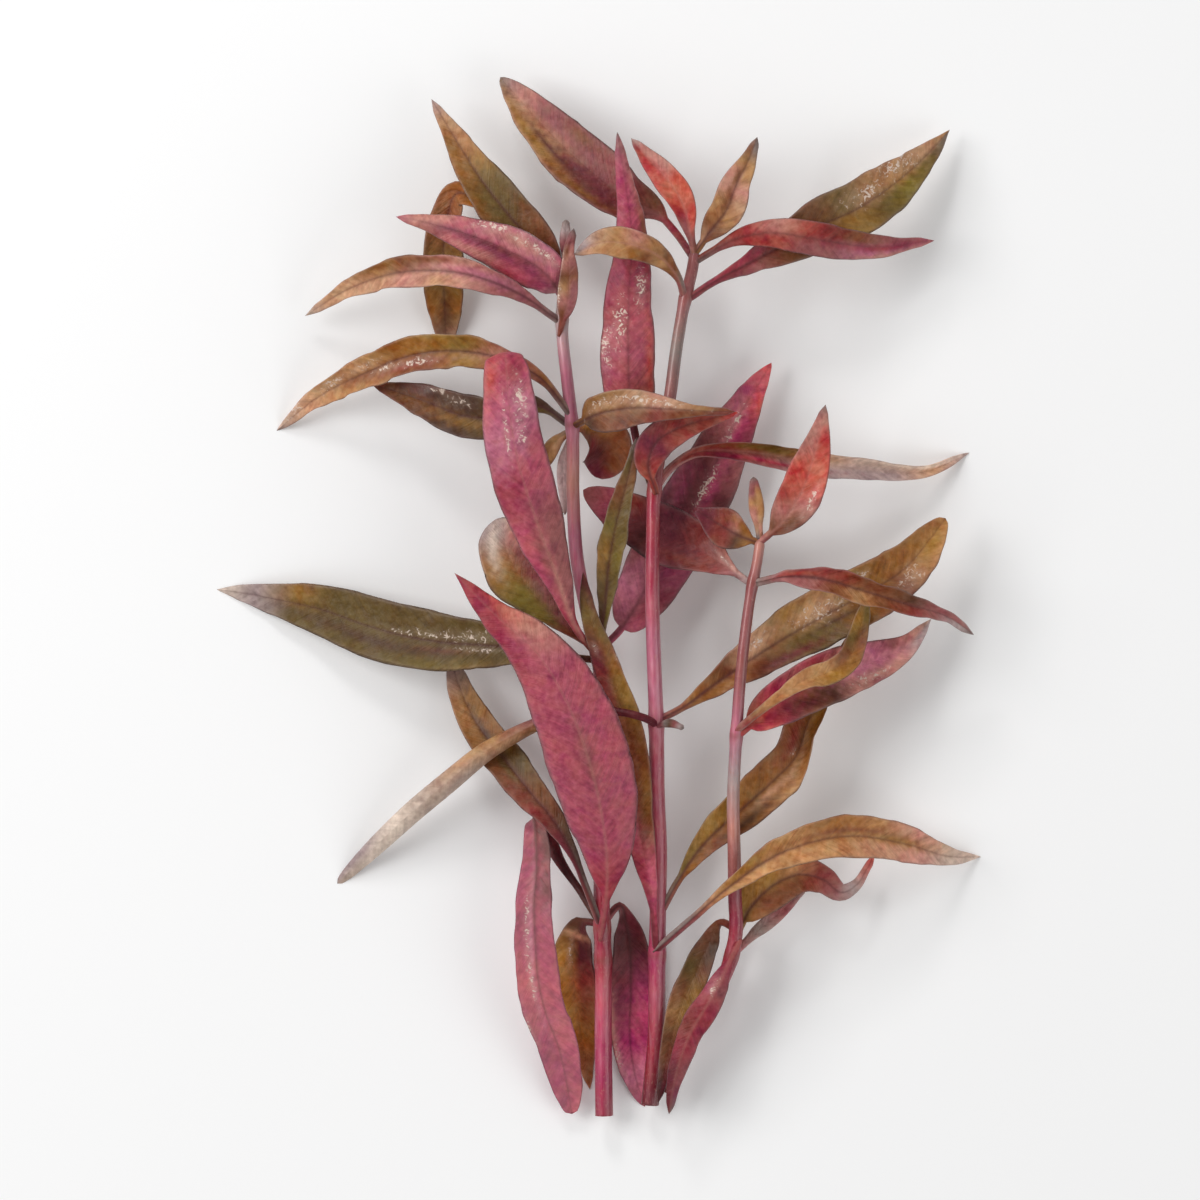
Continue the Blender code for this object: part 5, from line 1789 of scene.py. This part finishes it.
# %% Leaf finishes
PAINTED_GLINTS, FILM = 1100.0, 140.0
PAINTED_GLINT_EDGE, PAINTED_GLINT_STEEPNESS = 0.67, 9.0
PAINTED_GLINT_LIFT, PAINTED_GLINT_REACH, PAINTED_GLINT_STRENGTH = 0.2, 1.6, 0.85
PAINTED_WET_SHEEN = 0.05
LEAF_RELIEF = 0.7
FILM_EDGE, FILM_STEEPNESS = 0.3, 2.0
SMOOTHEST = 0.15
SLOTS = {
    "pink": dict(mottle="crimson", patches=0.4, gloss=0.1),
    "red": dict(mottle="wine", patches=0.25, gloss=0.1),
    "maroon": dict(mottle="plum", patches=0.45, gloss=0.12),
    "orange": dict(mottle="brown", patches=0.25, gloss=0.1),
    "olive": dict(mottle="brown", patches=0.3, gloss=0.1),
    "pale": dict(mottle="dusk", patches=0.12, gloss=0.06, veins=0.03),
}


def leaf_shader(mottle, patches, gloss, veins=0.12):
    """The way to build the finish of one slot."""

    def build(tree):
        across, along, shine = (carried(tree, name) for name in ("across", "along", "shine"))
        place = object_place(tree)
        streaks = noise(tree, vein_place(tree, across, along, STREAK_FINENESS), 1.0, 4.0, 0.5)
        threads = noise(tree, vein_place(tree, across, along, THREAD_FINENESS), 1.0, 2.0)
        cells = noise(tree, place, CELLS, 4.0)
        grain = 0.8 * streaks + 0.2 * threads + 0.9 * cells
        base = ribbed(tree, mottled(tree, place, grain, cells, mottle, patches), across, veins)
        # Painted highlights: glints and a faint sheen are painted pale where a gloss mark lies
        painted_glints = noise(tree, place, PAINTED_GLINTS, 3.0, 1.2) + PAINTED_GLINT_LIFT * shine
        painted_flecks = painted_glints.above(PAINTED_GLINT_EDGE, PAINTED_GLINT_STEEPNESS) * (shine * PAINTED_GLINT_REACH).share()
        # pale is how much painted highlight is laid over the colour
        pale = shine * PAINTED_WET_SHEEN + painted_flecks * PAINTED_GLINT_STRENGTH
        film = noise(tree, place, FILM, 2.0)
        return {
            "Base Color": blended(tree, pale, base, paint("bone")),
            "Roughness": (0.52 - 0.2 * film + 0.1 * cells - 0.25 * shine).most(SMOOTHEST),
            "Specular IOR Level": 0.3,
            "Normal": bump(tree, LEAF_RELIEF, RELIEF_DEPTH, streaks + 0.5 * threads + cells),
            "Coat Weight": film.above(FILM_EDGE, FILM_STEEPNESS) * gloss,
            "Coat Roughness": 0.2,
        }

    return build


leaf_finishes = {
    slot: principled("blade_" + slot, leaf_shader(**look)) for slot, look in SLOTS.items()
}
print(f"{len(leaf_finishes)} finishes for leaves")

# %% [markdown]
# ## The leaves at last
#
# One tree and one set of sizes make every leaf. Buds are young leaves that are still
# rolled up, so they are thicker, and their margins don't wave. The seed gives each leaf
# its own noise.

# %% Make the leaves
FIRST_SEED, SEED_STEP = 3.0, 1.7
BLADE = {
    "Blade thickness": 0.42, "Stalk thickness": 1.25, "Rib height": 0.42,
    "Vein spacing": 3.3, "Vein slant": VEIN_SLANT, "Vein depth": 0.05,
    "Cushions": 0.3, "Wave height": 0.35, "Wave length": 13.0,
}
BUD = BLADE | {"Blade thickness": 1.3, "Wave height": 0.0, "Vein spacing": 2.0}

for number, (name, leaf) in enumerate(LEAVES.items()):
    seed = FIRST_SEED + SEED_STEP * number
    sizes = BUD if name.startswith("bud") else BLADE
    sizes = sizes | {"Wave height": sizes["Wave height"] * leaf.wave}
    blade = grown(
        "fine_" + name, leaf_sheet(name, leaf, seed), tree_of_blades,
        sizes | {"Seed": seed, "Finish": leaf_finishes[leaf.tone]},
    )
    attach(blade, "root")
    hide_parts(name)
print(f"{len(LEAVES)} leaves and buds")

# %% [markdown]
# ## The floor
#
# The bunch lies on a plain pale table. The table isn't part of the plant, so it is
# marked as stage.

# %% Floor
FLOOR_SIZE = 8.0
FLOOR_GREY = (0.94, 0.94, 0.94, 1.0)
FLOOR_SHADE = (0.91, 0.91, 0.91, 1.0)


def floor_shader(tree):
    cloud = noise(tree, object_place(tree), 3.0)
    return {"Base Color": blended(tree, cloud * 0.1, FLOOR_GREY, FLOOR_SHADE), "Roughness": 0.7}


edge = FLOOR_SIZE / 2
floor_mesh = bpy.data.meshes.new("floor")
floor_mesh.from_pydata(
    [(-edge, -edge, 0), (edge, -edge, 0), (edge, edge, 0), (-edge, edge, 0)], [], [(0, 1, 2, 3)]
)
floor_mesh.materials.append(principled("floor", floor_shader))
floor = bpy.data.objects.new("floor", floor_mesh)
bpy.context.scene.collection.objects.link(floor)
floor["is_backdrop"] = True
print(f"a floor of {FLOOR_SIZE:.0f} by {FLOOR_SIZE:.0f} m")

# %% [markdown]
# ## Sizes
#
# The box of the CAD model and the box of the fine pieces are printed, one after the
# other.

# %% Finish
looks_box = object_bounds()
boxes = {
    "cad": [list(corner) for corner in cad_box],
    "visual": [list(corner) for corner in looks_box],
}
for title, (low, high) in boxes.items():
    sizes = [round((b - a) / MM, 1) for a, b in zip(low, high)]
    print(f"{title} box: {sizes[0]} x {sizes[1]} x {sizes[2]} mm")
